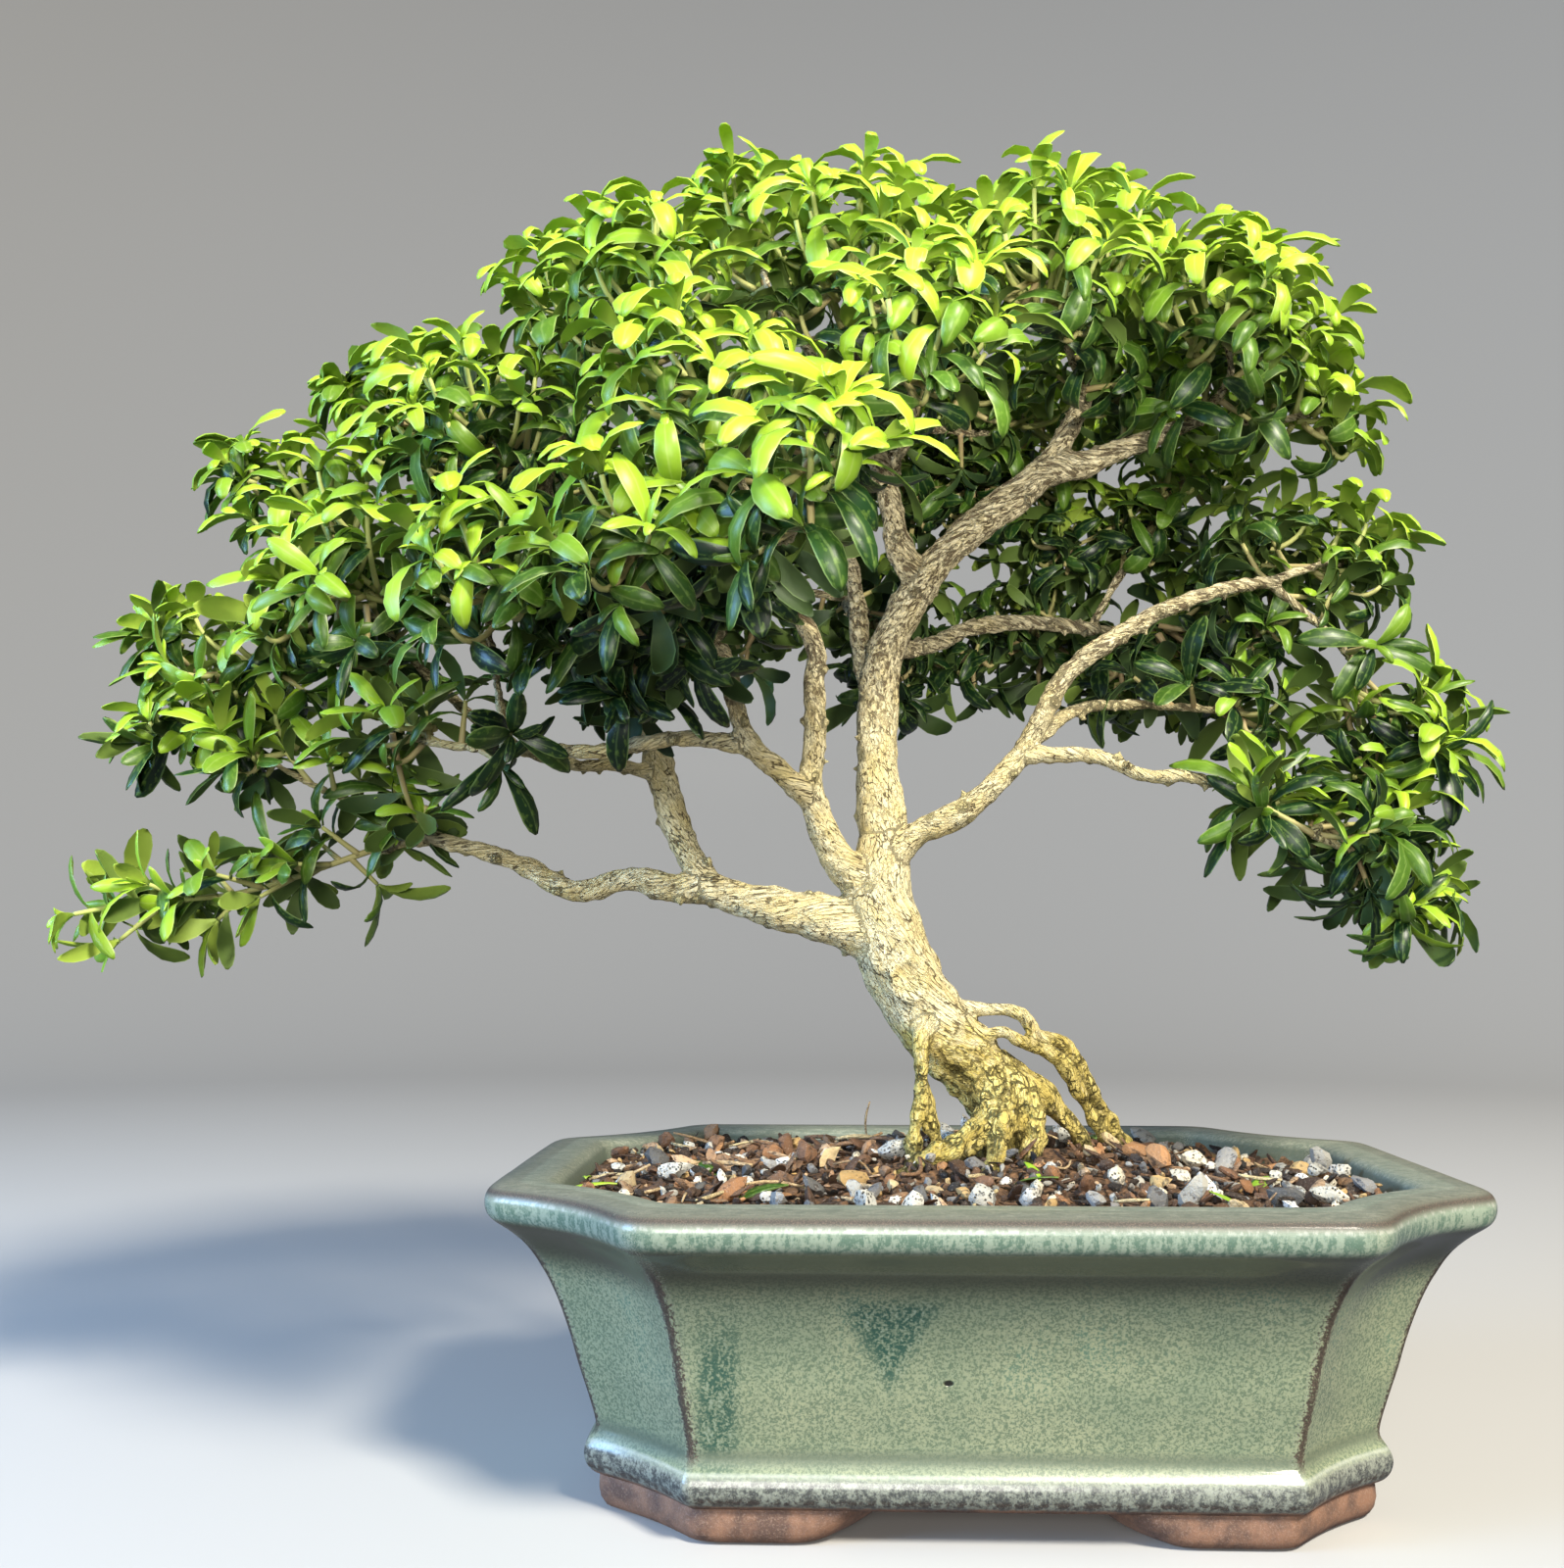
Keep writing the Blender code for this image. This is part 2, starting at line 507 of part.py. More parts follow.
def make_soil():
    low = FLOOR_TOP + GAP + 0.05
    heights = [low, 22.0, 40.0, 55.0]
    rings = [level(wall_inset(z) + SOIL_CLEAR, z) for z in heights]
    edge = level(wall_inset(SOIL_EDGE - 2) + SOIL_CLEAR, SOIL_EDGE - 1.2)
    rings.append(edge)
    for share in SOIL_RINGS:
        rings.append([Vector((p.x * share, p.y * share, soil_height(p.x * share, p.y * share)))
                      for p in edge])
    soil = facing_out(new_object("soil", *loft(rings)), triangles=True)
    holes = []
    for sides, route in [LIMBS["trunk"]] + list(ROOTS.values()):
        near = [p for p in route if p[2] < 90]
        holes.append(facing_out(new_object("hole", *tube(near, sides, SOIL_CLEAR))))
    for x in (-DRAIN_X, DRAIN_X):
        half = SCREEN_SIDE / 2 + GAP
        corners = [(x - half, -half), (x + half, -half), (x + half, half), (x - half, half)]
        top = FLOOR_TOP + 2 * GAP + SCREEN_THICK
        box = [[Vector((a, b, z)) for a, b in corners] for z in (FLOOR_TOP - 2, top)]
        holes.append(facing_out(new_object("pocket", *loft(box))))
    hole = boolean(holes[0], holes[1:], "UNION")
    boolean(soil, [hole], "DIFFERENCE")
    return clean(soil)


# Wood

def way_points():
    """Points along the thin limbs, every few millimetres, that a twig may leave."""
    points = []
    for sides, route in LIMBS.values():
        for a, b in zip(route, route[1:]):
            if b[3] < TWIG_BEARER:
                points += [Vector(a[:3]).lerp(Vector(b[:3]), share) for share in LEG_SHARES]
    return points


def off_line(point, start, end):
    along = end - start
    share = max(0.0, min(1.0, (point - start).dot(along) / along.length_squared))
    return (point - start - along * share).length


def twig_route(name):
    """The shortest clear way from a limb to a spray, ending just outside its core."""
    middle = Vector(SPRAYS[name][:3])
    reach = SPRAYS[name][3] * CORE_SHARE + TWIG_STANDOFF
    others = [(Vector(s[:3]), s[3]) for n, s in SPRAYS.items() if n != name]
    ways = sorted(way_points(), key=lambda p: (p - middle).length)
    for start in ways:
        far = (start - middle).length > reach + 2
        if far and all(off_line(o, start, middle) > r + TWIG_CLEAR for o, r in others):
            break
    else:
        start = ways[0]
    end = middle + (start - middle).normalized() * reach
    return [(*start, TWIG_RADIUS + 0.3), (*end, TWIG_RADIUS)]


def make_wood(twigs):
    tubes = [new_object("limb", *tube(route, sides)) for sides, route in LIMBS.values()]
    tubes += [new_object("root", *tube(route, sides)) for sides, route in ROOTS.values()]
    tubes += [new_object("twig", *tube(route, 4)) for route in twigs.values()]
    for piece in tubes:
        facing_out(piece)
    wood = tubes[0]
    wood.name = "wood"
    boolean(wood, tubes[1:], "UNION")
    return clean(wood, SHORT)


def mesh_shape(obj):
    return [v.co.copy() for v in obj.data.vertices], [tuple(p.vertices) for p in obj.data.polygons]


# Sprays

def make_core(name, wood_tree):
    """A rough ball cut off flat where a neighbour's begins, and clear of the wood.

    Each point's radius follows a sum of sines, up to the plane between two heads."""
    middle, size = Vector(SPRAYS[name][:3]), SPRAYS[name][3] * CORE_SHARE
    planes = []
    for other, (x, y, z, r) in SPRAYS.items():
        away = Vector((x, y, z)) - middle
        if other != name and away.length < (SPRAYS[name][3] + r) * 1.3:
            split = (away.length_squared + SPRAYS[name][3] ** 2 - r * r) / (2 * away.length)
            planes.append((away.normalized(), split - GAP))
    ball = bmesh.new()
    bmesh.ops.create_icosphere(ball, subdivisions=1, radius=1.0)
    bmesh.ops.rotate(ball, verts=ball.verts, matrix=Matrix.Rotation(middle.y, 3, Vector((0.6, 0.64, 0.48))))
    phase = (middle.x * 0.37 + middle.z * 0.21) % 6.28
    for v in ball.verts:
        d = v.co.normalized()
        rough = math.sin(5.1 * d.x + phase) * math.sin(4.7 * d.y - phase) + math.sin(6.3 * d.z + 2 * phase) * 0.6
        radius = size * (1 + CORE_ROUGHNESS * rough)
        for normal, limit in planes:
            if normal.dot(d) > 0.05:
                radius = min(radius, limit / normal.dot(d))
        hit = wood_tree.ray_cast(middle, d, size * 1.4)
        if hit[0]:
            radius = min(radius, max((hit[0] - middle).length - CORE_FROM_WOOD, size * CORE_LEAST))
        v.co = d * radius
    faces = [tuple(v.index for v in f.verts) for f in ball.faces]
    verts = [v.co.copy() for v in ball.verts]
    ball.free()
    scale = 1.0
    while True:
        shape = ([middle + v * scale for v in verts], faces)
        if not tree_of(shape).overlap(wood_tree) or scale < 0.5:
            return shape
        scale -= 0.06


def core_spots(core, middle, to_stem):
    """Middle and outward direction of each core face, but not beside the stem."""
    spots = []
    verts, faces = core
    for face in faces:
        a, b, c = (verts[i] for i in face)
        normal = (b - a).cross(c - a)
        if normal.length < LEAST_SPOT:
            continue
        normal.normalize()
        spot = (a + b + c) / 3
        if (spot - middle).dot(normal) < 0:
            normal.negate()
        aim = ((spot - middle).normalized() + normal).normalized()
        if aim.dot(to_stem) < 0.8:
            spots.append((spot, normal, aim))
    return spots


def grow_leaves(name, middle, core, stem_end, blocked, rng):
    """Blades rooted in the core, spread evenly, each turned until it is clear.

    The next spot is always the one that is furthest from those in use."""
    core_tree = tree_of(core)
    wanted = round(SPRAYS[name][3] * LEAVES_PER_CORE_MM)
    spots = core_spots(core, middle, (stem_end - middle).normalized())
    grown = []
    used = [(stem_end - middle).normalized()]
    while spots and len(grown) < wanted:
        spot, normal, aim = max(spots, key=lambda s: min((s[2] - u).length for u in used))
        spots.remove((spot, normal, aim))
        for _ in range(LEAF_TRIES):
            sideways = aim.cross(Vector((rng.uniform(-1, 1) for _ in range(3)))).normalized()
            ahead = (aim * 0.86 + sideways * 0.5 + Vector((0, 0, 0.12))).normalized()
            face = (aim - ahead * aim.dot(ahead)).normalized()
            root = spot - normal * LEAF_SUNK
            fat = blade(root, ahead, face, LEAF_ROOM)
            if clear_of(fat, blocked + [g[1] for g in grown]) and stands_off(fat, middle, core_tree):
                grown.append((blade(root, ahead, face), tree_of(fat)))
                used.append(aim)
                break
    return grown


def clear_of(shape, trees):
    own = tree_of(shape)
    return not any(own.overlap(other) for other in trees)


def stands_off(shape, middle, core_tree):
    """True where the blade's outer half keeps outside its own core."""
    for point in shape[0][6:]:
        away = point - middle
        hit = core_tree.ray_cast(middle, away.normalized())
        if hit[0] and (hit[0] - middle).length > away.length - 1.0:
            return False
    return True


def is_closed(obj):
    mesh = bmesh.new()
    mesh.from_mesh(obj.data)
    closed = not open_edges(mesh)
    mesh.free()
    return closed


def joined(name, body, stems, leaves):
    """One closed solid of a body, its stems and its leaves, or None."""
    for solver in ("EXACT", "MANIFOLD"):
        spray = facing_out(new_object(name, *body))
        pieces = [facing_out(new_object("stem", *stem)) for stem in stems]
        pieces += [facing_out(new_object("leaf", *leaf)) for leaf, fat in leaves]
        clean(boolean(spray, pieces, "UNION", solver), SHORT)
        if is_closed(spray):
            return spray
        remove(spray)
    return None


def fused(name, body, stems, leaves):
    """A spray with all its leaves, or without those that won't join."""
    spray = joined(name, body, stems, leaves)
    if spray:
        return spray, [fat for leaf, fat in leaves]
    kept = []
    for grown in leaves:
        trial = joined("trial", body, stems, kept + [grown])
        if trial:
            kept.append(grown)
            if spray:
                remove(spray)
            spray = trial
    spray.name = name
    return spray, [fat for leaf, fat in kept]


def make_spray(name, core, route, blocked, rng):
    middle = Vector(SPRAYS[name][:3])
    end = Vector(route[-1][:3])
    inwards = (middle - end).normalized()
    start = end + inwards * GAP
    inside = middle - inwards * SPRAYS[name][3] * 0.3
    stem = tube([(*start, TWIG_RADIUS), (*inside, TWIG_RADIUS)], 4)
    leaves = grow_leaves(name, middle, core, end, blocked, rng)
    return fused(name, core, [stem], leaves)


def make_low_twig(blocked, rng):
    """Leaves in crossed pairs along a bare stem, with one at its tip."""
    points = [Vector(p[:3]) for p in LOW_TWIG]
    grown = []
    places = [(k + 1.0) / (LOW_TWIG_PAIRS + 0.4) for k in range(LOW_TWIG_PAIRS)]
    for k, share in enumerate(places):
        leg = min(int(share * (len(points) - 1)), len(points) - 2)
        spot = points[leg].lerp(points[leg + 1], share * (len(points) - 1) - leg)
        along = (points[leg + 1] - points[leg]).normalized()
        quarter = math.radians(25 + 90 * (k % 2))
        level_side = along.cross(Vector((0, 0, 1))).normalized()
        out = (level_side * math.cos(quarter) + Vector((0, 0, 1)) * math.sin(quarter))
        for sign in (-1, 1):
            for _ in range(LEAF_TRIES):
                lean = out * sign + Vector((rng.uniform(-0.3, 0.3) for _ in range(3)))
                ahead = (lean.normalized() * 0.9 + along * 0.5).normalized()
                face = (along - ahead * along.dot(ahead)).normalized()
                root = spot - ahead * 0.3
                fat = blade(root, ahead, face, LEAF_ROOM)
                if clear_of(fat, blocked + [g[1] for g in grown[:-1]]):
                    grown.append((blade(root, ahead, face), tree_of(fat)))
                    break
    return fused("spray_low_left", tube(LOW_TWIG, 5), [], grown)


# Build

def main():
    for obj in list(bpy.data.objects):
        bpy.data.objects.remove(obj, do_unlink=True)
    rng = random.Random(SEED)

    glaze = material("celadon_glaze", (0.30, 0.38, 0.26), 0.25, 0.5)
    grit = material("grit_and_bark", (0.22, 0.13, 0.07), 0.9)
    bark = material("pale_bark", (0.62, 0.50, 0.28), 0.8)
    leaf = material("boxwood_leaf", (0.16, 0.33, 0.04), 0.38)
    plastic = material("screen_plastic", (0.03, 0.03, 0.03), 0.5)

    pot = make_pot()
    soil = make_soil()
    screens = [make_screen("drain_screen_left", -DRAIN_X), make_screen("drain_screen_right", DRAIN_X)]
    twigs = {name: twig_route(name) for name in SPRAYS}
    wood = make_wood(twigs)
    wood_tree = tree_of(mesh_shape(wood))

    cores = {name: make_core(name, wood_tree) for name in SPRAYS}
    core_trees = {name: tree_of(core) for name, core in cores.items()}
    taken = []
    sprays = []
    low_twig, fats = make_low_twig([wood_tree] + list(core_trees.values()), rng)
    sprays.append(low_twig)
    taken += fats + [tree_of(tube(LOW_TWIG, 5, GAP))]
    for name in SPRAYS:
        near = [tree for other, tree in core_trees.items() if other != name]
        spray, fats = make_spray(name, cores[name], twigs[name], [wood_tree] + near + taken, rng)
        sprays.append(spray)
        taken += fats

    finish(pot, glaze, 40)
    finish(soil, grit, 25)
    finish(wood, bark, 60)
    for screen in screens:
        finish(screen, plastic)
    for spray in sprays:
        finish(spray, leaf)


main()
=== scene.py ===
import math

import bpy
import numpy as np
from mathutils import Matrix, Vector


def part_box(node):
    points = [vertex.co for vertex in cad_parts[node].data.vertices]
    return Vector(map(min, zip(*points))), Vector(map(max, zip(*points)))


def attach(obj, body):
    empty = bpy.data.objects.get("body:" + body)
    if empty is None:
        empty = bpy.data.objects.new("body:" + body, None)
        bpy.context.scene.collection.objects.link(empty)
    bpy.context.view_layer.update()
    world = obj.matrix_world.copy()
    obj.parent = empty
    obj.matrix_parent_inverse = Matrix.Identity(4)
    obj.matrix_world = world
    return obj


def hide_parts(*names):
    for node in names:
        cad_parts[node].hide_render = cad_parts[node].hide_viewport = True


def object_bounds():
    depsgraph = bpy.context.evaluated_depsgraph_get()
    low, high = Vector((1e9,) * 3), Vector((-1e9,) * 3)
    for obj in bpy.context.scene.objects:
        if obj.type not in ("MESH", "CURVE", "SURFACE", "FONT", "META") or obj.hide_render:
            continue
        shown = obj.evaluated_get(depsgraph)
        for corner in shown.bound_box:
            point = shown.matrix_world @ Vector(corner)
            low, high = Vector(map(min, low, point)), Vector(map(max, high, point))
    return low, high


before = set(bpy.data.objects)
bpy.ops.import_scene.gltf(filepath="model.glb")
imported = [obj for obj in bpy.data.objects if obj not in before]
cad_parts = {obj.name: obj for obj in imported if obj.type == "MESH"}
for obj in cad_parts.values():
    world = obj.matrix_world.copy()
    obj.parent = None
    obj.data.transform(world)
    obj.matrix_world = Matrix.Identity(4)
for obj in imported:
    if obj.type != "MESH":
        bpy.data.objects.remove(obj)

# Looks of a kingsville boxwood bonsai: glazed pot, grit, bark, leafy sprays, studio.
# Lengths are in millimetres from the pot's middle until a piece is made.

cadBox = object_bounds()
potLow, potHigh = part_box("pot")
potMiddle = np.array([(potLow.x + potHigh.x) / 2, (potLow.y + potHigh.y) / 2, 0.0])
upwards = np.array([0.0, 0.0, 1.0])


# Arrays and meshes.

def unit(v):
    # each vector over its own length
    return v / np.maximum(np.linalg.norm(v, axis=-1, keepdims=True), 1e-9)


def gridFaces(rows, cols):
    # quads (r, c), (r, c+1), (r+1, c+1), (r+1, c); the last column meets the first
    r = np.arange(rows - 1)[:, None]
    c = np.arange(cols)[None, :]
    nextC = (c + 1) % cols
    quads = np.stack([r * cols + c, r * cols + nextC, (r + 1) * cols + nextC, (r + 1) * cols + c], -1)
    return quads.reshape(-1, 4)


def endCaps(rows, cols):
    # one face over the first ring, turned round, and one over the last ring
    return np.vstack([np.arange(cols)[::-1], (rows - 1) * cols + np.arange(cols)])


def repeatFaces(faces, count, per):
    # the faces of one part, again for each of count parts that have per points each
    starts = (np.arange(count) * per)[:, None, None]
    return (faces[None] + starts).reshape(-1, faces.shape[1])


def joinParts(parts):
    # points, quads and caps of all parts in one set; a part's faces move up by the points before it
    starts = np.cumsum([0] + [len(part[0]) for part in parts])
    quads, caps = (np.vstack([part[k] + start for part, start in zip(parts, starts)]) for k in (1, 2))
    return np.vstack([part[0] for part in parts]), quads, caps


def pointAt(share, shares, line):
    # the point at share of a line whose points stand at shares, straight between two of them
    return np.stack([np.interp(share, shares, line[:, i]) for i in range(3)], -1)


def softNoise(points, cell, seed):
    # random numbers at the corners of cubes of side cell, blended by 3t^2 - 2t^3 along each axis
    table = np.random.default_rng(seed).random((32, 32, 32)) * 2 - 1
    p = points / cell
    low = np.floor(p).astype(int)
    f = p - low
    f = f * f * (3 - 2 * f)
    total = np.zeros(len(points))
    for i in (0, 1):
        for j in (0, 1):
            for k in (0, 1):
                weight = np.prod(np.where([i, j, k], f, 1 - f), axis=1)
                total += weight * table[(low[:, 0] + i) & 31, (low[:, 1] + j) & 31, (low[:, 2] + k) & 31]
    return total


def meshFrom(name, points, faceSets, marks=None, inWorld=False):
    # arrays of triangles, quads or wider faces go in together; marks are one value or vector a vertex
    mesh = bpy.data.meshes.new(name)
    faceSets = [np.asarray(f) for f in faceSets if len(f)]
    corners = np.concatenate([f.ravel() for f in faceSets]).astype(np.int32)
    sizes = np.concatenate([np.full(len(f), f.shape[1]) for f in faceSets])
    place = points if inWorld else points * 0.001 + potMiddle
    mesh.vertices.add(len(points))
    mesh.vertices.foreach_set("co", place.astype(np.float32).ravel())
    mesh.loops.add(len(corners))
    mesh.loops.foreach_set("vertex_index", corners)
    mesh.polygons.add(len(sizes))
    mesh.polygons.foreach_set("loop_start", np.concatenate([[0], np.cumsum(sizes)[:-1]]).astype(np.int32))
    mesh.polygons.foreach_set("use_smooth", np.ones(len(sizes), bool))
    mesh.update(calc_edges=True)
    for mark, values in (marks or {}).items():
        addMark(mesh, mark, values)
    return mesh


def fullTurn(steps):
    # angles of even steps round a circle
    return np.arange(steps) * 2 * np.pi / steps


def lengthTo(line):
    # how long a line is up to each of its points
    return np.concatenate([[0], np.cumsum(np.linalg.norm(np.diff(line, axis=0), axis=1))])


def addMark(mesh, mark, values):
    # one value or one vector for each vertex
    kind, field = ("FLOAT_VECTOR", "vector") if np.ndim(values) == 2 else ("FLOAT", "value")
    layer = mesh.attributes.new(mark, kind, "POINT").data
    layer.foreach_set(field, np.asarray(values, np.float32).ravel())


def newObject(name, data):
    made = bpy.data.objects.new(name, data)
    bpy.context.scene.collection.objects.link(made)
    return made


def addPiece(name, mesh, material, nodes=()):
    piece = newObject(name, mesh)
    mesh.materials.append(material)
    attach(piece, "root")
    if nodes:
        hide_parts(*nodes)
    return piece


def markSharp(mesh, flags):
    # one flag for each edge
    mesh.attributes.new("sharp_edge", "BOOLEAN", "EDGE").data.foreach_set("value", flags)


def appliedMesh(piece):
    # the mesh that the piece's modifiers make
    graph = bpy.context.evaluated_depsgraph_get()
    mesh = bpy.data.meshes.new_from_object(piece.evaluated_get(graph))
    piece.modifiers.clear()
    return mesh


# Shader maths.

class Value:
    # a socket that + - * / work on; each adds one Math node
    def __init__(self, maker, socket):
        self.maker = maker
        self.socket = socket

    def __add__(self, other):
        return self.maker.math("ADD", self, other)

    def __radd__(self, other):
        return self.maker.math("ADD", other, self)

    def __sub__(self, other):
        return self.maker.math("SUBTRACT", self, other)

    def __rsub__(self, other):
        return self.maker.math("SUBTRACT", other, self)

    def __mul__(self, other):
        return self.maker.math("MULTIPLY", self, other)

    def __rmul__(self, other):
        return self.maker.math("MULTIPLY", other, self)

    def __truediv__(self, other):
        return self.maker.math("DIVIDE", self, other)

    def __pow__(self, other):
        return self.maker.math("POWER", self, other)

    def size(self):
        return self.maker.math("ABSOLUTE", self)

    def top(self, other):
        return self.maker.math("MAXIMUM", self, other)

    def least(self, other):
        return self.maker.math("MINIMUM", self, other)

    def rise(self, low, high):
        # 0 below low, 1 above high, smooth between; low above high turns it round
        settings = {"interpolation_type": "SMOOTHSTEP"}
        return self.maker.node("ShaderNodeMapRange", settings, {0: self, 1: low, 2: high})["Result"]

    def bell(self, middle, width):
        # 1 at middle, falling smoothly to 0 at width on either side
        return (1 - ((self - middle) / width).size()).rise(0.0, 1.0)


class Finish:
    # one material; its node method takes a node's type, its settings and its sockets
    def __init__(self, name, **fixed):
        self.material = bpy.data.materials.new(name)
        self.material.use_nodes = True
        self.tree = self.material.node_tree
        self.shader = self.tree.nodes["Principled BSDF"]
        for socket, value in fixed.items():
            self.shader.inputs[socket.replace("_", " ")].default_value = value

    def plug(self, value, socket):
        if isinstance(value, Value):
            self.tree.links.new(value.socket, socket)
        elif isinstance(value, (tuple, list)) and len(value) == 3 and len(socket.default_value) == 4:
            socket.default_value = (*value, 1.0)
        else:
            socket.default_value = value

    def node(self, kind, settings, inputs):
        made = self.tree.nodes.new(kind)
        for name, value in settings.items():
            if name == "stops":
                ramp = made.color_ramp
                for place, colour in value[2:]:
                    ramp.elements.new(place)
                for stop, (place, colour) in zip(ramp.elements, sorted(value)):
                    stop.position = place
                    stop.color = (*colour, 1.0)
            else:
                setattr(made, name, value)
        for name, value in inputs.items():
            self.plug(value, made.inputs[name])
        return {out.name: Value(self, out) for out in made.outputs if out.enabled}

    def math(self, operation, a, b=0.0):
        return self.node("ShaderNodeMath", {"operation": operation}, {0: a, 1: b})["Value"]

    def place(self):
        # where a point is, in millimetres from the pot's middle on the plane of its feet
        where = self.node("ShaderNodeTexCoord", {}, {})["Object"]
        settings = {"vector_type": "POINT"}
        inputs = {"Vector": where, "Location": tuple(-potMiddle * 1000), "Scale": (1000, 1000, 1000)}
        return self.node("ShaderNodeMapping", settings, inputs)["Vector"]

    def mark(self, name):
        return self.node("ShaderNodeAttribute", {"attribute_name": name}, {})

    def split(self, vector):
        parts = self.node("ShaderNodeSeparateXYZ", {}, {0: vector})
        return parts["X"], parts["Y"], parts["Z"]

    def stretch(self, vector, amounts):
        return self.node("ShaderNodeVectorMath", {"operation": "MULTIPLY"}, {0: vector, 1: amounts})["Vector"]

    def noise(self, vector, cell, detail=3.0, rough=0.55, warp=0.0):
        inputs = {"Vector": vector, "Scale": 1.0 / cell, "Detail": detail,
                  "Roughness": rough, "Distortion": warp}
        return self.node("ShaderNodeTexNoise", {}, inputs)["Fac"]

    def cells(self, vector, cell, feature="F1"):
        inputs = {"Vector": vector, "Scale": 1.0 / cell}
        return self.node("ShaderNodeTexVoronoi", {"feature": feature}, inputs)["Distance"]

    def shifted(self, vector, amount, cell):
        # the vector pushed about by up to amount, by a noise of its own
        inputs = {"Vector": vector, "Scale": 1.0 / cell, "Detail": 2.0}
        push = self.node("ShaderNodeTexNoise", {}, inputs)["Color"]
        made = {"operation": "MULTIPLY_ADD"}
        return self.node("ShaderNodeVectorMath", made, {0: push, 1: (amount,) * 3, 2: vector})["Vector"]

    def ramp(self, value, stops):
        return self.node("ShaderNodeValToRGB", {"stops": stops}, {0: value})["Color"]

    def mix(self, factor, a, b, how="MIX"):
        settings = {"data_type": "RGBA", "blend_type": how, "clamp_factor": True}
        made = self.tree.nodes.new("ShaderNodeMix")
        for name, value in settings.items():
            setattr(made, name, value)
        self.plug(factor, made.inputs[0])
        self.plug(a, made.inputs[6])
        self.plug(b, made.inputs[7])
        return Value(self, made.outputs[2])

    def bump(self, height, depth):
        # depth is in millimetres
        inputs = {"Height": height, "Distance": depth * 0.001, "Strength": 1.0}
        return self.node("ShaderNodeBump", {}, inputs)["Normal"]

    def feed(self, **links):
        for name, value in links.items():
            self.plug(value, self.shader.inputs[name.replace("_", " ")])
        return self.material


# The pot.

potShape = {
    "rimHalf": (102.5, 74.2), "baseHalf": (78.1, 48.0),      # half length and half width
    "rimCut": (33.2, 33.0), "baseCut": (20.4, 18.9),         # how much each corner loses
    "rimDip": 5.0, "baseDip": 1.2,                           # hollow of the cut corners
    "steps": (92, 34, 58), "passes": 16,                     # points along front, cut and end; rounding
    # height and inset from the rim's edge, first up the outside and then down the inside
    "outer": [(7.0, 23.4), (7.9, 21.9), (9.4, 20.7), (11.4, 20.1), (13.3, 20.4), (14.9, 21.3),
              (16.6, 22.3), (19.0, 22.1), (24.0, 20.7), (30.0, 18.9), (36.0, 17.3), (42.0, 15.3),
              (47.0, 13.2), (51.0, 10.9), (54.4, 8.2), (57.0, 5.2), (58.9, 2.5), (60.3, 0.9),
              (61.8, 0.2), (63.6, 0.0), (65.0, 0.35), (66.0, 1.1), (66.55, 2.4)],
    "inner": [(66.75, 5.0), (66.8, 9.0), (66.7, 12.0), (66.3, 13.5), (65.3, 14.5), (62.0, 15.5),
              (55.0, 17.2), (40.0, 23.4), (22.0, 28.4), (15.2, 30.4), (14.5, 32.0)],
    "wander": (0.28, 0.07),                                  # slow and quick unevenness of the walls
    "drains": (38.0, 8.0), "drillSteps": 40,                 # distance from the middle, radius
    "footWidth": 11.0, "footFront": 31.0, "footSide": 22.0, "footCurve": 15.0, "footHeight": 7.0,
    # a foot's section, as shares of its width and its height
    "footSection": [(0.03, 1), (0.0, 0.75), (-0.01, 0.5), (0.02, 0.28), (0.09, 0.1), (0.22, 0.015),
                    (0.4, 0), (0.7, 0), (0.88, 0.04), (0.97, 0.2), (1, 0.5), (1, 1)],
}


def outlineRings(insets):
    # rings of the pot's outline at each inset: straight sides, and each cut is its chord pushed in by
    # 4 dip t (1 - t)
    share = np.asarray(insets, float)[:, None] / (potShape["rimHalf"][0] - potShape["baseHalf"][0])
    blend = lambda pair, s: pair[0] + (pair[1] - pair[0]) * s
    hx, hy = (blend((potShape["rimHalf"][i], potShape["baseHalf"][i]), share) for i in (0, 1))
    cx, cy = (blend((potShape["rimCut"][i], potShape["baseCut"][i]), np.minimum(share, 1.1)) for i in (0, 1))
    dip = blend((potShape["rimDip"], potShape["baseDip"]), np.clip(share, 0, 1))
    t1, t2, t3 = ((np.arange(n) / n)[None, :] for n in potShape["steps"])
    chord = np.hypot(cx, cy)
    bow = 4 * dip * t2 * (1 - t2)
    right = np.stack([hx + 0 * t3, (hy - cy) * (2 * t3 - 1)], -1)
    cut = np.stack([hx - cx * t2 - cy / chord * bow, hy - cy + cy * t2 - cx / chord * bow], -1)
    back = np.stack([(hx - cx) * (1 - 2 * t1), hy + 0 * t1], -1)
    # the second cut is the first one mirrored, so it runs the other way
    end = np.stack([hx - cx, hy], -1)
    turned = np.concatenate([end, cut[:, :0:-1]], 1)
    runs = [right, cut, back, turned * (-1, 1), -right, -cut, -back, turned * (1, -1)]
    corners = np.cumsum([0] + [r.shape[1] for r in runs])[:-1]
    return np.concatenate(runs, 1), corners


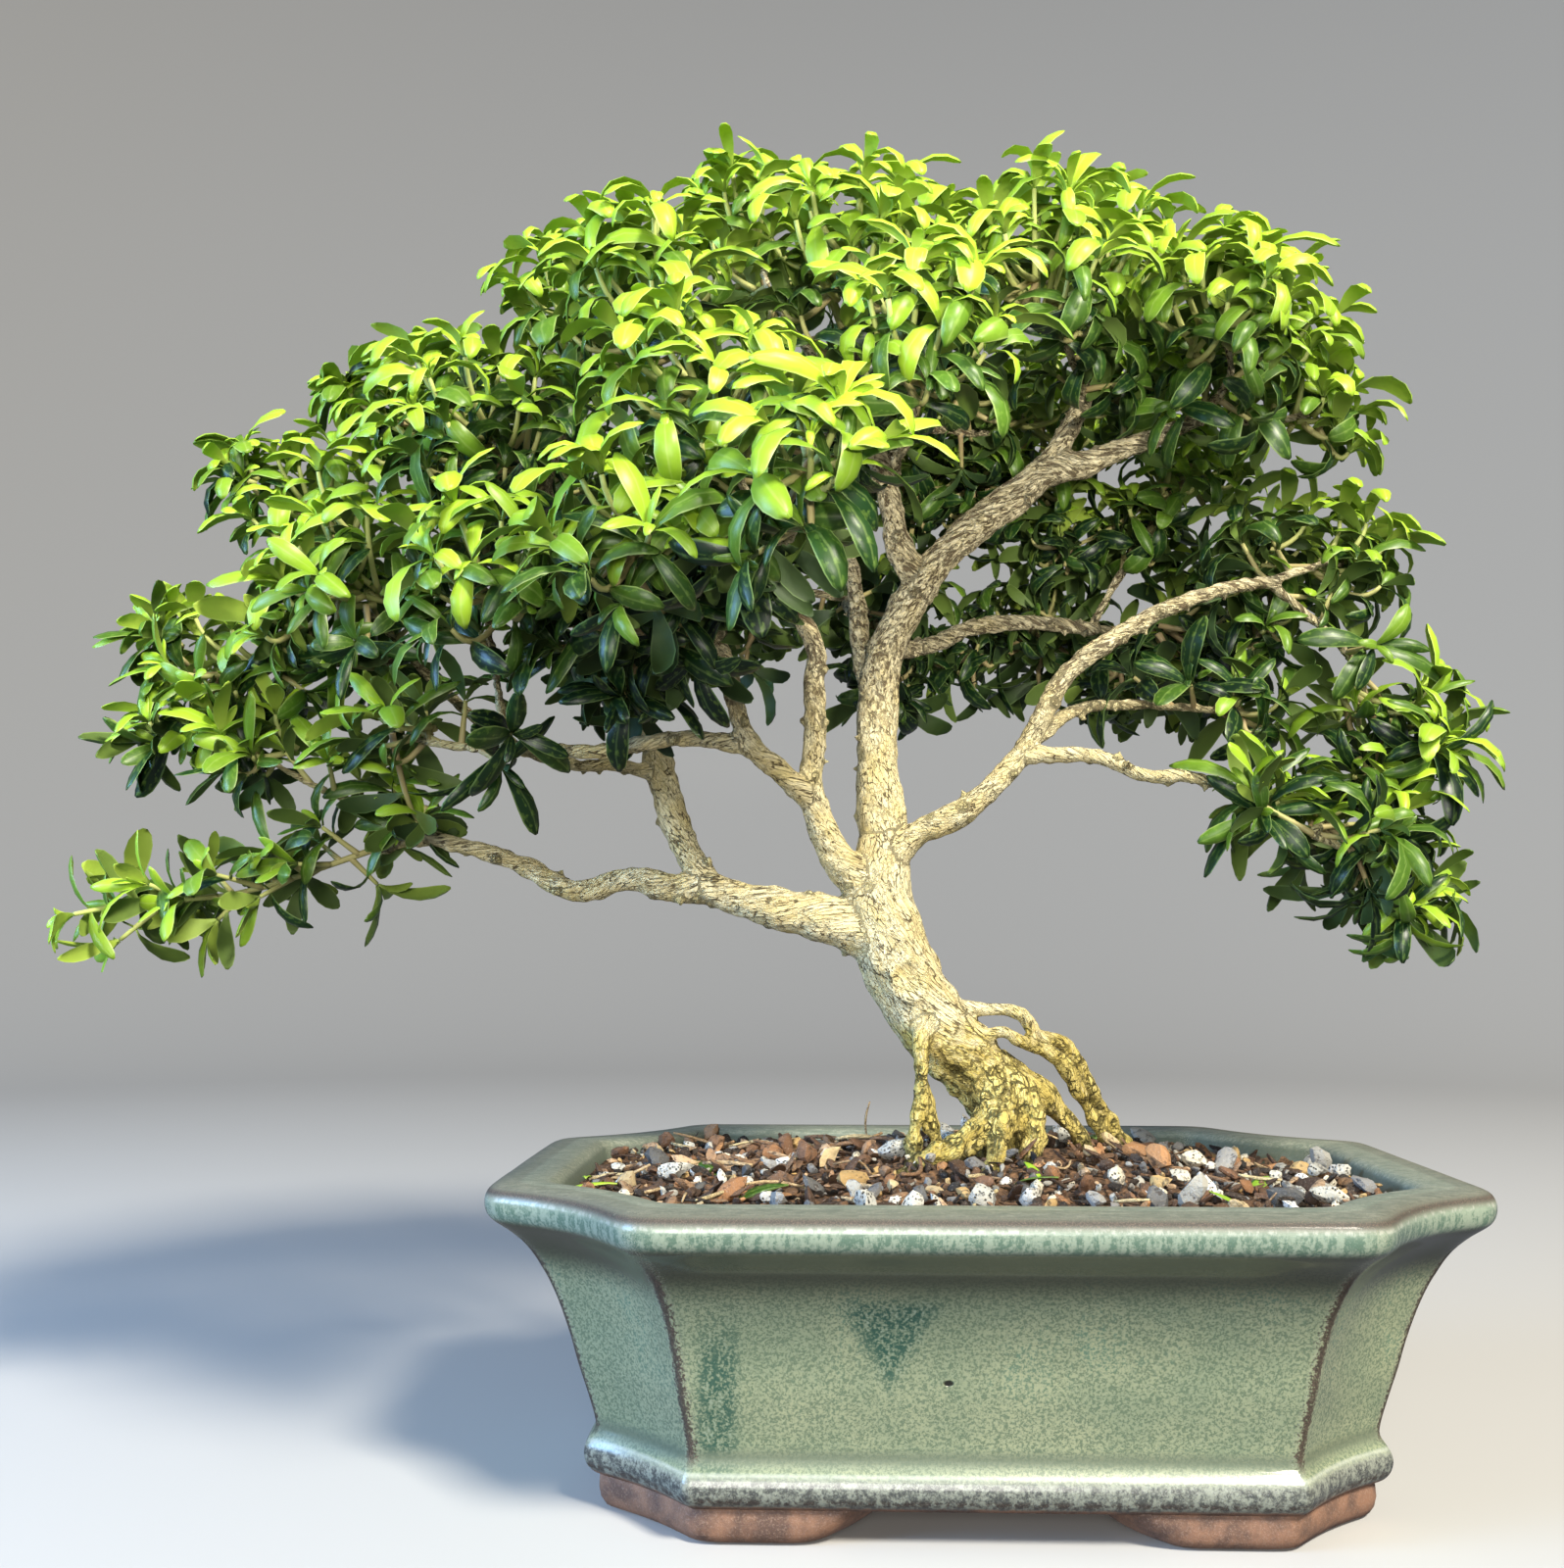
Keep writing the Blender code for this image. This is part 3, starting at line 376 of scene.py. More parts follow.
def roundedRings(insets, softness=1.0):
    # each pass makes a point half of itself and a quarter of each neighbour; softness is how much of
    # that each ring takes
    ring, corners = outlineRings(insets)
    steps = np.linalg.norm(np.roll(ring, -1, 1) - ring, axis=-1)[len(ring) // 2]
    along = np.concatenate([[0], np.cumsum(steps)])
    apart = np.abs(along[:-1][:, None] - along[corners][None, :])
    nearCorner = np.exp(-(np.minimum(apart, along[-1] - apart).min(1) / 2.0) ** 2)
    sharp = ring
    for _ in range(potShape["passes"]):
        ring = ring * 0.5 + (np.roll(ring, 1, 1) + np.roll(ring, -1, 1)) * 0.25
    softness = np.broadcast_to(softness, (len(ring),))[:, None, None]
    return sharp * (1 - softness) + ring * softness, nearCorner


def smoothLine(points, per):
    # Catmull-Rom: the cubic through p1 and p2 whose slopes there are (p2 - p0) / 2 and (p3 - p1) / 2
    p = np.asarray(points, float)
    p = np.vstack([2 * p[0] - p[1], p, 2 * p[-1] - p[-2]])
    t = np.linspace(0, 1, per, endpoint=False)[None, :, None]
    a, b, c, d = (p[i:len(p) - 3 + i][:, None, :] for i in range(4))
    line = 0.5 * (2 * b + (c - a) * t + (2 * a - 5 * b + 4 * c - d) * t ** 2
                  + (3 * b - a - 3 * c + d) * t ** 3)
    return np.vstack([line.reshape(-1, p.shape[1]), p[-2:-1]])


def potBody():
    # the profile's insets give the outline's rings, its heights their places; both ends close in the middle
    profile = np.vstack([smoothLine(potShape["outer"], 3), potShape["inner"]])
    # the rim's corners are rounder than the wall's
    ring, nearCorner = roundedRings(profile[:, 1], 0.32 + 0.68 * np.clip((profile[:, 0] - 50) / 8, 0, 1))
    rows, cols = ring.shape[:2]
    wall = np.concatenate([ring, np.broadcast_to(profile[:, :1, None], (rows, cols, 1))], -1)
    shrink = np.array([0.05, 0.35, 0.7, 0.92])[:, None, None] * np.array([1, 1, 0]) + np.array([0, 0, 1])
    rings = np.concatenate([wall[:1] * shrink, wall, wall[-1:] * shrink[::-1]])
    count = len(rings)
    # hand-made walls wander a little: a slow noise pushes them in and out
    flat = rings.reshape(-1, 3)
    slow, quick = potShape["wander"]
    wander = softNoise(flat, 42.0, 3) * slow + softNoise(flat, 11.0, 4) * quick
    out = flat * np.array([1, 1, 0])
    flat = flat + unit(out) * (wander * np.clip((flat[:, 2] - 7.5) / 6, 0, 1))[:, None]
    low, high = (np.array([[0, 0, profile[end, 0]]]) for end in (0, -1))
    points = np.vstack([flat, low, high])
    c = np.arange(cols)
    n = (c + 1) % cols
    last = (count - 1) * cols
    caps = np.vstack([np.stack([np.full(cols, count * cols), n, c], -1),
                      np.stack([np.full(cols, count * cols + 1), last + c, last + n], -1)])
    corner = np.concatenate([np.tile(nearCorner, count), [0, 0]])
    lip = np.arange(count) >= 4 + len(profile) - len(potShape["inner"]) + 1
    inner = np.concatenate([np.repeat(lip, cols), [False, True]]).astype(float)
    return points, [gridFaces(count, cols), caps], corner, inner


def potFoot(sx, sy):
    # a rounded section carried along the cut corner; its bottom rises to the pot as 1 - cos at both ends
    def track(inset):
        ring, corners = outlineRings([inset])
        ring = ring[0]
        cut = ring[corners[1]:corners[2] + 1:2]
        side = cut[0] - np.array([0, 1.0]) * np.linspace(potShape["footSide"], 1.2, 16)[:, None]
        front = cut[-1] - np.array([1.0, 0]) * np.linspace(1.2, potShape["footFront"], 20)[:, None]
        return np.vstack([side, cut, front])

    base = potShape["outer"][0][1]
    outer, inner = track(base - 0.3), track(base + potShape["footWidth"])
    for _ in range(4):
        for line in (outer, inner):
            line[1:-1] = line[1:-1] * 0.5 + (line[:-2] + line[2:]) * 0.25
    along = lengthTo(outer)
    toEnd = np.minimum(along, along[-1] - along) / potShape["footCurve"]
    lift = potShape["footHeight"] * 1.02 * (1 - np.sin(np.clip(toEnd, 0, 1) * np.pi / 2)) ** 1.5
    section = np.array(potShape["footSection"])
    across, height = section[:, 0][None, :, None], section[:, 1][None, :]
    flat = outer[:, None] * (1 - across) + inner[:, None] * across
    z = lift[:, None] + (potShape["footHeight"] + 1.3 - lift[:, None]) * height
    points = np.concatenate([flat, z[..., None]], -1) * np.array([sx, sy, 1.0])
    rows, cols = points.shape[:2]
    faces = gridFaces(rows, cols)
    ends = endCaps(rows, cols)
    if sx * sy > 0:
        faces, ends = faces[:, ::-1], ends[:, ::-1]
    return points.reshape(-1, 3), faces, ends


def makePot():
    # the body is drilled first; the feet then overlap it from below
    points, faces, corner, inner = potBody()
    body = drilled(meshFrom("pot_body", points, faces, {"cornerEdge": corner, "innerSide": inner}))
    corners = ((-1, -1), (1, -1), (-1, 1), (1, 1))
    points, quads, caps = joinParts([potFoot(*corner) for corner in corners])
    none = np.zeros(len(points))
    feet = meshFrom("pot_feet", points, [quads, caps], {"cornerEdge": none, "innerSide": none})
    pair = [newObject(part.name, part) for part in (body, feet)]
    with bpy.context.temp_override(active_object=pair[0], selected_editable_objects=pair):
        bpy.ops.object.join()
    mesh = pair[0].data
    bpy.data.objects.remove(pair[0])
    mesh.name = "pot_glazed"
    return mesh


def drilled(mesh):
    # cuts the drain holes down through the floor
    piece = newObject("blank", mesh)
    steps = potShape["drillSteps"]
    turn = fullTurn(steps)
    away, radius = potShape["drains"]
    for x in (-away, away):
        ring = np.stack([x + radius * np.cos(turn), radius * np.sin(turn)], -1)
        points = np.vstack([np.column_stack([ring, np.full(steps, z)]) for z in (3.0, 20.0)])
        cutter = newObject("drill", meshFrom("drill", points, [gridFaces(2, steps), endCaps(2, steps)]))
        step = piece.modifiers.new("drill", "BOOLEAN")
        step.operation = "DIFFERENCE"
        step.object = cutter
        piece.data = appliedMesh(piece)
        bpy.data.objects.remove(cutter)
    mesh = piece.data
    bpy.data.objects.remove(piece)
    return mesh


def glazeFinish():
    # sage glaze with dark specks and runs, brown where it is thin on edges, bare clay on the feet
    f = Finish("celadon_glaze", Coat_Roughness=0.10, Specular_IOR_Level=0.5)
    spot = f.place()
    x, y, z = f.split(spot)
    corner = f.mark("cornerEdge")["Fac"]
    inner = f.mark("innerSide")["Fac"].rise(0.3, 0.7)
    speck = f.noise(spot, 0.62, 4.0, 0.66, 0.3)
    fine = f.noise(spot, 0.27, 2.0, 0.6)
    cloud = f.noise(spot, 22.0, 4.0, 0.55)
    runs = f.noise(f.stretch(spot, (1.0, 1.0, 0.20)), 1.5, 4.0, 0.66, 0.3)
    ragged = f.noise(f.stretch(spot, (1.0, 1.0, 0.8)), 1.9, 4.0, 0.70)
    front = y.rise(-30.0, -34.0)

    sage = f.mix(cloud.rise(0.34, 0.68), (0.265, 0.315, 0.200), (0.350, 0.380, 0.235))
    dark = (speck * 0.70 + fine * 0.30).rise(0.46, 0.55)
    teal = (cloud * 0.7 + runs * 0.3).rise(0.50, 0.64) * z.rise(20.0, 44.0)
    body = f.mix(dark * 0.80, sage, f.mix(teal, (0.100, 0.150, 0.096), (0.070, 0.180, 0.130)))
    body = f.mix(fine.rise(0.60, 0.70) * 0.40, body, (0.46, 0.50, 0.36))
    # a run of darker glaze at the left of the front, a wedge of it near the middle, and one small pit
    leftRun = (x + 52.4 + (45.0 - z) * 0.04).size().rise(5.6, 1.8) * z.rise(12.5, 17.0) * z.rise(50.0, 34.0)
    wedge = ((x + 20.0).size() + (47.0 - z) * 0.56 - 8.6).rise(3.0, -3.0) * z.rise(51.0, 46.5)
    drips = ((leftRun * 0.9 + wedge) * front).least(1.0)
    lace = speck * 0.6 + runs * 0.4
    body = f.mix(drips * 0.45, body, (0.060, 0.125, 0.092))
    body = f.mix(drips * lace.rise(0.47, 0.53) * 0.9, body, (0.028, 0.088, 0.064))
    body = f.mix(drips * lace.rise(0.45, 0.40) * 0.7, body, (0.300, 0.370, 0.280))
    # the rim's band: pale glaze with fine green runs; below it, painted shade where the rim overhangs the
    # wall
    band = z.rise(58.8, 60.4)
    streaks = (runs * 0.6 + speck * 0.4).rise(0.44, 0.56) * z.rise(65.4, 62.5)
    bandColour = f.mix(streaks * 0.85, (0.285, 0.350, 0.268), (0.088, 0.160, 0.114))
    bandColour = f.mix(fine.rise(0.60, 0.70) * 0.35, bandColour, (0.34, 0.40, 0.32))
    bandColour = f.mix(z.rise(63.6, 65.2) * 0.5, bandColour, (0.30, 0.33, 0.26))
    body = f.mix(band, body, bandColour)
    # painted shade: the hollow of the wall under the rim's band is darkened, as the rim's shadow
    paintedRimShade = z.rise(46.5, 54.5) * z.rise(60.6, 59.2)
    body = f.mix(paintedRimShade * 0.92, body, (0.044, 0.048, 0.030))
    # flat top of the rim, scratched and duller
    scratch = f.noise(f.stretch(spot, (0.22, 1.0, 1.0)), 0.8, 3.0, 0.7, 0.8)
    onTop = z.rise(66.2, 66.5).top(inner)
    topColour = f.mix(scratch.rise(0.38, 0.66), (0.180, 0.212, 0.164), (0.330, 0.350, 0.272))
    # painted shade: the inner wall below the rim's top is darker
    topColour = f.mix(inner * z.rise(65.9, 64.6) * 0.75, topColour, (0.070, 0.095, 0.068))
    body = f.mix(onTop, body, f.mix(dark * 0.4, topColour, (0.12, 0.16, 0.12)))
    # the bead: a painted highlight along its top and in patches over its upper half, grey and brown below;
    # the cove above it painted darker, as shade
    cove = z.bell(16.9, 2.8)
    # painted highlight: a pale line along the top of the bead
    pale = z.bell(14.2, 0.6) * (0.15 + ragged * 0.8)
    # painted shade: the cove above the bead is painted darker, which also holds back its glare
    body = f.mix(cove * 0.85, body, (0.100, 0.124, 0.082))
    body = f.mix(pale, body, (0.50, 0.54, 0.46))
    bead = z.rise(14.9, 12.6)
    beadDark = (ragged * 0.6 + speck * 0.4).rise(0.40, 0.58)
    beadColour = f.mix(beadDark, (0.270, 0.290, 0.245), (0.062, 0.064, 0.066))
    beadColour = f.mix(fine.rise(0.60, 0.68) * 0.5, beadColour, (0.42, 0.43, 0.40))
    # painted highlight: the bead's upper half is paler in patches
    paintedBeadHighlight = z.rise(12.6, 14.2) * (ragged + 0.1).rise(0.42, 0.56)
    beadColour = f.mix(paintedBeadHighlight * 0.55, beadColour, (0.50, 0.52, 0.47))
    body = f.mix(bead * 0.92, body, beadColour)
    # edges where the glaze has run thin and the clay shows brown, with painted highlight dashes just below
    # the rim's edge
    rimEdge = z.bell(65.55, 1.9) * (ragged * 0.7 + speck * 0.3 + 0.05).rise(0.33, 0.43) * (1 - inner)
    worn = corner * corner * 1.1 + (speck - 0.5) * 2.8 + (fine - 0.5) * 1.4
    cornerLine = worn.rise(0.40, 0.64) * z.rise(58.0, 52.5) * z.rise(14.0, 18.0)
    cornerPale = corner.rise(0.05, 0.6) * fine.rise(0.50, 0.62) * z.rise(14.0, 18.0)
    body = f.mix(cornerPale * 0.6, body, (0.38, 0.39, 0.30))
    footLine = z.bell(9.3, 1.2) * (ragged + 0.05).rise(0.45, 0.60)
    brown = rimEdge.top(cornerLine * corner.rise(0.02, 0.25)).top(footLine * 0.8) * 0.92
    # painted highlight: broken white dashes just below the rim's brown edge
    paintedGlint = z.bell(64.3, 0.9) * (ragged * 0.5 + runs * 0.5).rise(0.48, 0.56) * (1 - inner)
    body = f.mix(paintedGlint * 0.55, body, (0.62, 0.64, 0.56))
    body = f.mix(brown, body, f.mix(fine.rise(0.4, 0.7), (0.030, 0.020, 0.016), (0.110, 0.072, 0.054)))
    pitFar = ((x + 8.9) * (x + 8.9) + (z - 32.4) * (z - 32.4) * 2.6) ** 0.5
    pit = pitFar.rise(1.15, 0.65) * front
    body = f.mix(pit, body, (0.02, 0.02, 0.015))
    # bare clay on the feet and the underside
    clay = (z + (ragged - 0.5) * 1.8).rise(8.6, 7.7)
    grain = f.noise(spot, 0.42, 4.0, 0.75)
    patch = f.noise(spot, 6.0, 4.0, 0.6)
    clayColour = f.mix(patch.rise(0.35, 0.65), (0.270, 0.145, 0.090), (0.115, 0.068, 0.050))
    clayColour = f.mix(grain.rise(0.50, 0.66) * 0.5, clayColour, (0.36, 0.25, 0.19))
    colour = f.mix(clay, body, clayColour)
    rough = 0.20 + speck * 0.10 + cove * 0.55 + onTop * 0.26 + brown * 0.50 + clay * 0.5
    relief = speck * 0.5 + fine * 0.2 + grain * clay * 1.6 - pit * 3.0 - brown * 0.8
    coat = 0.40 * (1 - clay) * (1 - onTop * 0.8) * (1 - cove * 0.9) * (1 - brown)
    return f.feed(Base_Color=colour, Roughness=rough.least(0.9), Coat_Weight=coat,
                  Normal=f.bump(relief, 0.08))


def screenFinish():
    # dark plastic with a slight grain
    f = Finish("screen_plastic", Roughness=0.5)
    grain = f.noise(f.place(), 0.4, 2.0, 0.6)
    return f.feed(Base_Color=f.mix(grain, (0.018, 0.018, 0.018), (0.045, 0.045, 0.045)),
                  Normal=f.bump(grain, 0.03))


addPiece("pot_glazed", makePot(), glazeFinish(), ["pot"])
screenPlastic = screenFinish()
for node in ("drain_screen_left", "drain_screen_right"):
    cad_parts[node].data.materials.clear()
    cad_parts[node].data.materials.append(screenPlastic)
print("pot done")


# The soil.

soilShape = {
    "edge": 63.6, "mound": 6.0, "moundAt": (8.0, 6.0), "moundReach": (55.0, 34.0),
    "sink": 3.6, "sinkAt": (86.0, 36.0), "sinkReach": 34.0, "rimInset": 15.6, "under": 1.1,
    "wall": [(30.6, 14.9), (23.8, 40.0), (17.6, 55.0), (15.6, 61.5)],  # inset and height down the pot's wall
    "edgeRoom": 2.4, "straws": 44, "strawPoints": 8, "seed": 5,
    # where the wood leaves the soil: x, y and the room that stones leave it
    "woodRoom": [(11, 3, 10.5), (0, -7, 5.0), (18, -7, 5.0), (25, 7, 4.5), (3, 17, 4.5)],
    # length, width and height over size
    "stone": [(1.0, 1.35), (0.65, 0.95), (0.45, 0.8)], "stoneTilt": 1.0,
    "chip": [(1.2, 1.8), (0.35, 0.75), (0.13, 0.28)], "chipTilt": 0.32,
}
palette = {
    "pumice": [(0.74, 0.72, 0.66), (0.60, 0.59, 0.53), (0.44, 0.45, 0.42), (0.68, 0.63, 0.50)],
    "shale": [(0.17, 0.175, 0.18), (0.28, 0.28, 0.27), (0.10, 0.105, 0.11), (0.36, 0.36, 0.33)],
    "baked": [(0.40, 0.21, 0.095), (0.24, 0.12, 0.055), (0.52, 0.35, 0.15), (0.15, 0.080, 0.045),
              (0.52, 0.41, 0.24)],
    "dark": [(0.030, 0.022, 0.018), (0.060, 0.036, 0.024), (0.014, 0.013, 0.013), (0.10, 0.055, 0.030)],
    "bark": [(0.15, 0.085, 0.048), (0.27, 0.165, 0.095), (0.075, 0.042, 0.026), (0.46, 0.32, 0.20),
             (0.11, 0.058, 0.034)],
    "straw": [(0.56, 0.42, 0.24), (0.40, 0.26, 0.13), (0.24, 0.14, 0.075), (0.60, 0.50, 0.28)],
}
# name, count, size, flat cuts, how high it lies, share of each kind at the left and at the right
gritLots = [
    ("soil_bits", 1900, (0.6, 1.3), 5, 0.35,
     {"dark": (0.62, 0.52), "bark": (0.28, 0.22), "shale": (0.06, 0.16), "baked": (0.04, 0.10)}),
    ("soil_chips", 430, (1.2, 2.9), 4, 0.70,
     {"bark": (0.62, 0.42), "dark": (0.32, 0.44), "baked": (0.06, 0.14)}),
    ("soil_grit", 400, (1.0, 2.1), 8, 0.70,
     {"baked": (0.26, 0.24), "dark": (0.40, 0.26), "shale": (0.18, 0.24), "pumice": (0.16, 0.26)}),
    ("soil_stones", 150, (1.9, 4.3), 10, 0.78,
     {"pumice": (0.22, 0.42), "shale": (0.26, 0.26), "baked": (0.20, 0.22), "bark": (0.32, 0.10)}),
]
tubeSides = 6


def soilHeight(x, y):
    # the edge's height, a mound that falls off as a bell curve, less a hollow of the same form
    s = soilShape
    mound = np.exp(-((x - s["moundAt"][0]) / s["moundReach"][0]) ** 2
                   - ((y - s["moundAt"][1]) / s["moundReach"][1]) ** 2)
    sunk = s["sink"] * np.exp(-((x - s["sinkAt"][0]) ** 2 + (y - s["sinkAt"][1]) ** 2) / s["sinkReach"] ** 2)
    return s["edge"] + s["mound"] * mound - sunk


def soilGround():
    # rings of the inner wall's outline, shrunk to the middle, raised to the mound's height
    wall = soilShape["wall"]
    shares = np.concatenate([np.ones(len(wall)), np.linspace(1.0, 0.02, 46)])
    insets = [inset for inset, height in wall] + [soilShape["rimInset"]] * 46
    ring, _ = roundedRings(insets)
    ring = ring[:, ::2]
    flat = ring * shares[:, None, None]
    z = soilHeight(flat[..., 0], flat[..., 1]) - soilShape["under"]
    z[:len(wall)] = np.array([height for inset, height in wall])[:, None]
    points = np.concatenate([flat, z[..., None]], -1)
    rows, cols = points.shape[:2]
    flatPoints = points.reshape(-1, 3)
    upper = np.repeat(np.arange(rows) > len(wall), cols)
    flatPoints[:, 2] += upper * (softNoise(flatPoints, 3.2, 8) * 0.8 + softNoise(flatPoints, 1.4, 9) * 0.35)
    return meshFrom("soil_ground", flatPoints, [gridFaces(rows, cols), endCaps(rows, cols)])


def spreadSpots(count, rng, inset):
    # even spots inside the soil's outline: of six random ones, the next is that furthest from the rest
    ring, _ = roundedRings([soilShape["rimInset"] + inset])
    outline = ring[0]
    spots = np.zeros((0, 2))
    ahead = np.roll(outline, -1, 0) - outline
    while len(spots) < count:
        tries = rng.uniform([-88, -60], [88, 60], (6, 2))
        side = tries[:, None] - outline[None]
        inside = (ahead[None, :, 0] * side[..., 1] - ahead[None, :, 1] * side[..., 0] > -0.5).mean(1) > 0.93
        tries = tries[inside]
        if len(tries) == 0:
            continue
        if len(spots):
            room = np.linalg.norm(tries[:, None] - spots[None], axis=-1).min(1)
            tries = tries[[room.argmax()]]
        spots = np.vstack([spots, tries[:1]])
    return spots


def brokenStones(centres, sizes, faceCuts, rng, tilt):
    # a ball whose points are pulled in to random planes, so that each stone has flat broken sides
    gold = (1 + 5 ** 0.5) / 2
    corners = unit(np.array([(-1, gold, 0), (1, gold, 0), (-1, -gold, 0), (1, -gold, 0),
                             (0, -1, gold), (0, 1, gold), (0, -1, -gold), (0, 1, -gold),
                             (gold, 0, -1), (gold, 0, 1), (-gold, 0, -1), (-gold, 0, 1)]))
    tris = np.array([(0, 11, 5), (0, 5, 1), (0, 1, 7), (0, 7, 10), (0, 10, 11), (1, 5, 9), (5, 11, 4),
                     (11, 10, 2), (10, 7, 6), (7, 1, 8), (3, 9, 4), (3, 4, 2), (3, 2, 6), (3, 6, 8),
                     (3, 8, 9), (4, 9, 5), (2, 4, 11), (6, 2, 10), (8, 6, 7), (9, 8, 1)])
    # each triangle of the 20 becomes four, with the middles of its edges on the ball
    edges = np.sort(np.vstack([tris[:, [0, 1]], tris[:, [1, 2]], tris[:, [2, 0]]]), axis=1)
    pairs, where = np.unique(edges, axis=0, return_inverse=True)
    ab, bc, ca = where.reshape(3, -1) + len(corners)
    ball = np.vstack([corners, unit(corners[pairs].sum(1))])
    a, b, c = tris.T
    tris = np.vstack([np.stack(t, -1) for t in ((a, ab, ca), (ab, b, bc), (ca, bc, c), (ab, bc, ca))])
    count = len(centres)
    normals = unit(rng.normal(size=(count, faceCuts, 3)))
    depth = rng.uniform(0.42, 0.76, (count, faceCuts))
    reach = np.einsum("vk,nfk->nvf", ball, normals)
    scale = np.where(reach > 0.05, depth[:, None, :] / np.maximum(reach, 0.05), 9.0).min(-1)
    shape = ball[None] * np.minimum(scale, 1.0)[..., None] * rng.uniform(0.93, 1.07, (count, len(ball), 1))
    shape = np.einsum("nvk,nkj->nvj", shape * sizes[:, None, :], turns(count, rng, tilt))
    points = (centres[:, None] + shape).reshape(-1, 3)
    return points, repeatFaces(tris, count, len(ball)), len(ball)


def turns(count, rng, tilt):
    # random turns: a spin about z, then a lean of up to tilt times a half turn
    spin, lean, way = rng.uniform(0, 2 * np.pi, (3, count))
    lean = (lean - np.pi) * tilt
    c, s, o = np.cos(spin), np.sin(spin), np.ones(count)
    first = np.stack([c, s, o * 0, -s, c, o * 0, o * 0, o * 0, o], -1).reshape(count, 3, 3)
    axis = np.stack([np.cos(way), np.sin(way), o * 0], -1)
    k = np.zeros((count, 3, 3))
    k[:, 0, 1], k[:, 0, 2], k[:, 1, 2] = -axis[:, 2], axis[:, 1], -axis[:, 0]
    k[:, 1, 0], k[:, 2, 0], k[:, 2, 1] = axis[:, 2], -axis[:, 1], axis[:, 0]
    second = np.eye(3) + np.sin(lean)[:, None, None] * k + (1 - np.cos(lean))[:, None, None] * (k @ k)
    return first @ second


def stoneColours(kinds, rng):
    # a colour from the palette of each stone's kind, up to a quarter darker or lighter
    colours = np.array([palette[k][rng.integers(len(palette[k]))] for k in kinds])
    return colours * rng.uniform(0.75, 1.25, (len(kinds), 1))


def scatterStones():
    # loose grit in four lots, from fine dark bits to broken stones; more pumice and shale to the right,
    # by a share of 1 / (1 + exp(-x))
    rng = np.random.default_rng(soilShape["seed"])
    aspects = lambda spans: np.column_stack([rng.uniform(low, high, count) for low, high in spans])
    for name, count, span, cuts, lift, shares in gritLots:
        spots = spreadSpots(count, rng, soilShape["edgeRoom"] + span[0])
        x, y = spots.T
        size = span[0] + (span[1] - span[0]) * rng.random(count) ** 1.5
        aspect, tilt = aspects(soilShape["stone"]), soilShape["stoneTilt"]
        isChip = name == "soil_chips"
        if isChip:
            aspect, tilt = aspects(soilShape["chip"]), soilShape["chipTilt"]
        height = soilHeight(x, y) - 0.6 + lift * size * 0.8 + rng.uniform(-0.2, 0.9, count)
        centres = np.column_stack([x, y, height])
        right = 1 / (1 + np.exp(-(x + 12) / 14))[:, None]
        ends = np.array(list(shares.values()))
        odds = np.cumsum(ends[:, 0] * (1 - right) + ends[:, 1] * right, axis=1)
        kind = np.array(list(shares))[(rng.random(count)[:, None] > odds[:, :-1]).sum(1)]
        keep = np.ones(count, bool)
        for ax, ay, room in soilShape["woodRoom"]:
            keep &= np.hypot(x - ax, y - ay) > room + (span[0] - 0.6)
        sizes = size[:, None] * aspect
        points, faces, per = brokenStones(centres[keep], sizes[keep], cuts, rng, tilt)
        marks = {"stoneColour": np.repeat(stoneColours(kind[keep], rng), per, axis=0),
                 "pocked": np.repeat((kind[keep] == "pumice") * 1.0, per),
                 "drawn": np.full(len(points), isChip * 1.0)}
        mesh = meshFrom(name, points, [faces], marks)
        markSharp(mesh, creased(mesh, 0.5))
        addPiece(name, mesh, gritPaint)


def thinTubes(lines, radii, aslant):
    # rings along each line; a ring's first side is square to the line and to the vector aslant
    count, rows = lines.shape[:2]
    ahead = unit(np.gradient(lines, axis=1))
    side = unit(np.cross(ahead, aslant))
    other = np.cross(ahead, side)
    turn = fullTurn(tubeSides)
    ring = side[:, :, None] * np.cos(turn)[:, None] + other[:, :, None] * np.sin(turn)[:, None]
    points = (lines[:, :, None] + ring * radii[:, :, None, None]).reshape(-1, 3)
    faces = (gridFaces(rows, tubeSides), endCaps(rows, tubeSides))
    return points, *(repeatFaces(f, count, rows * tubeSides) for f in faces)


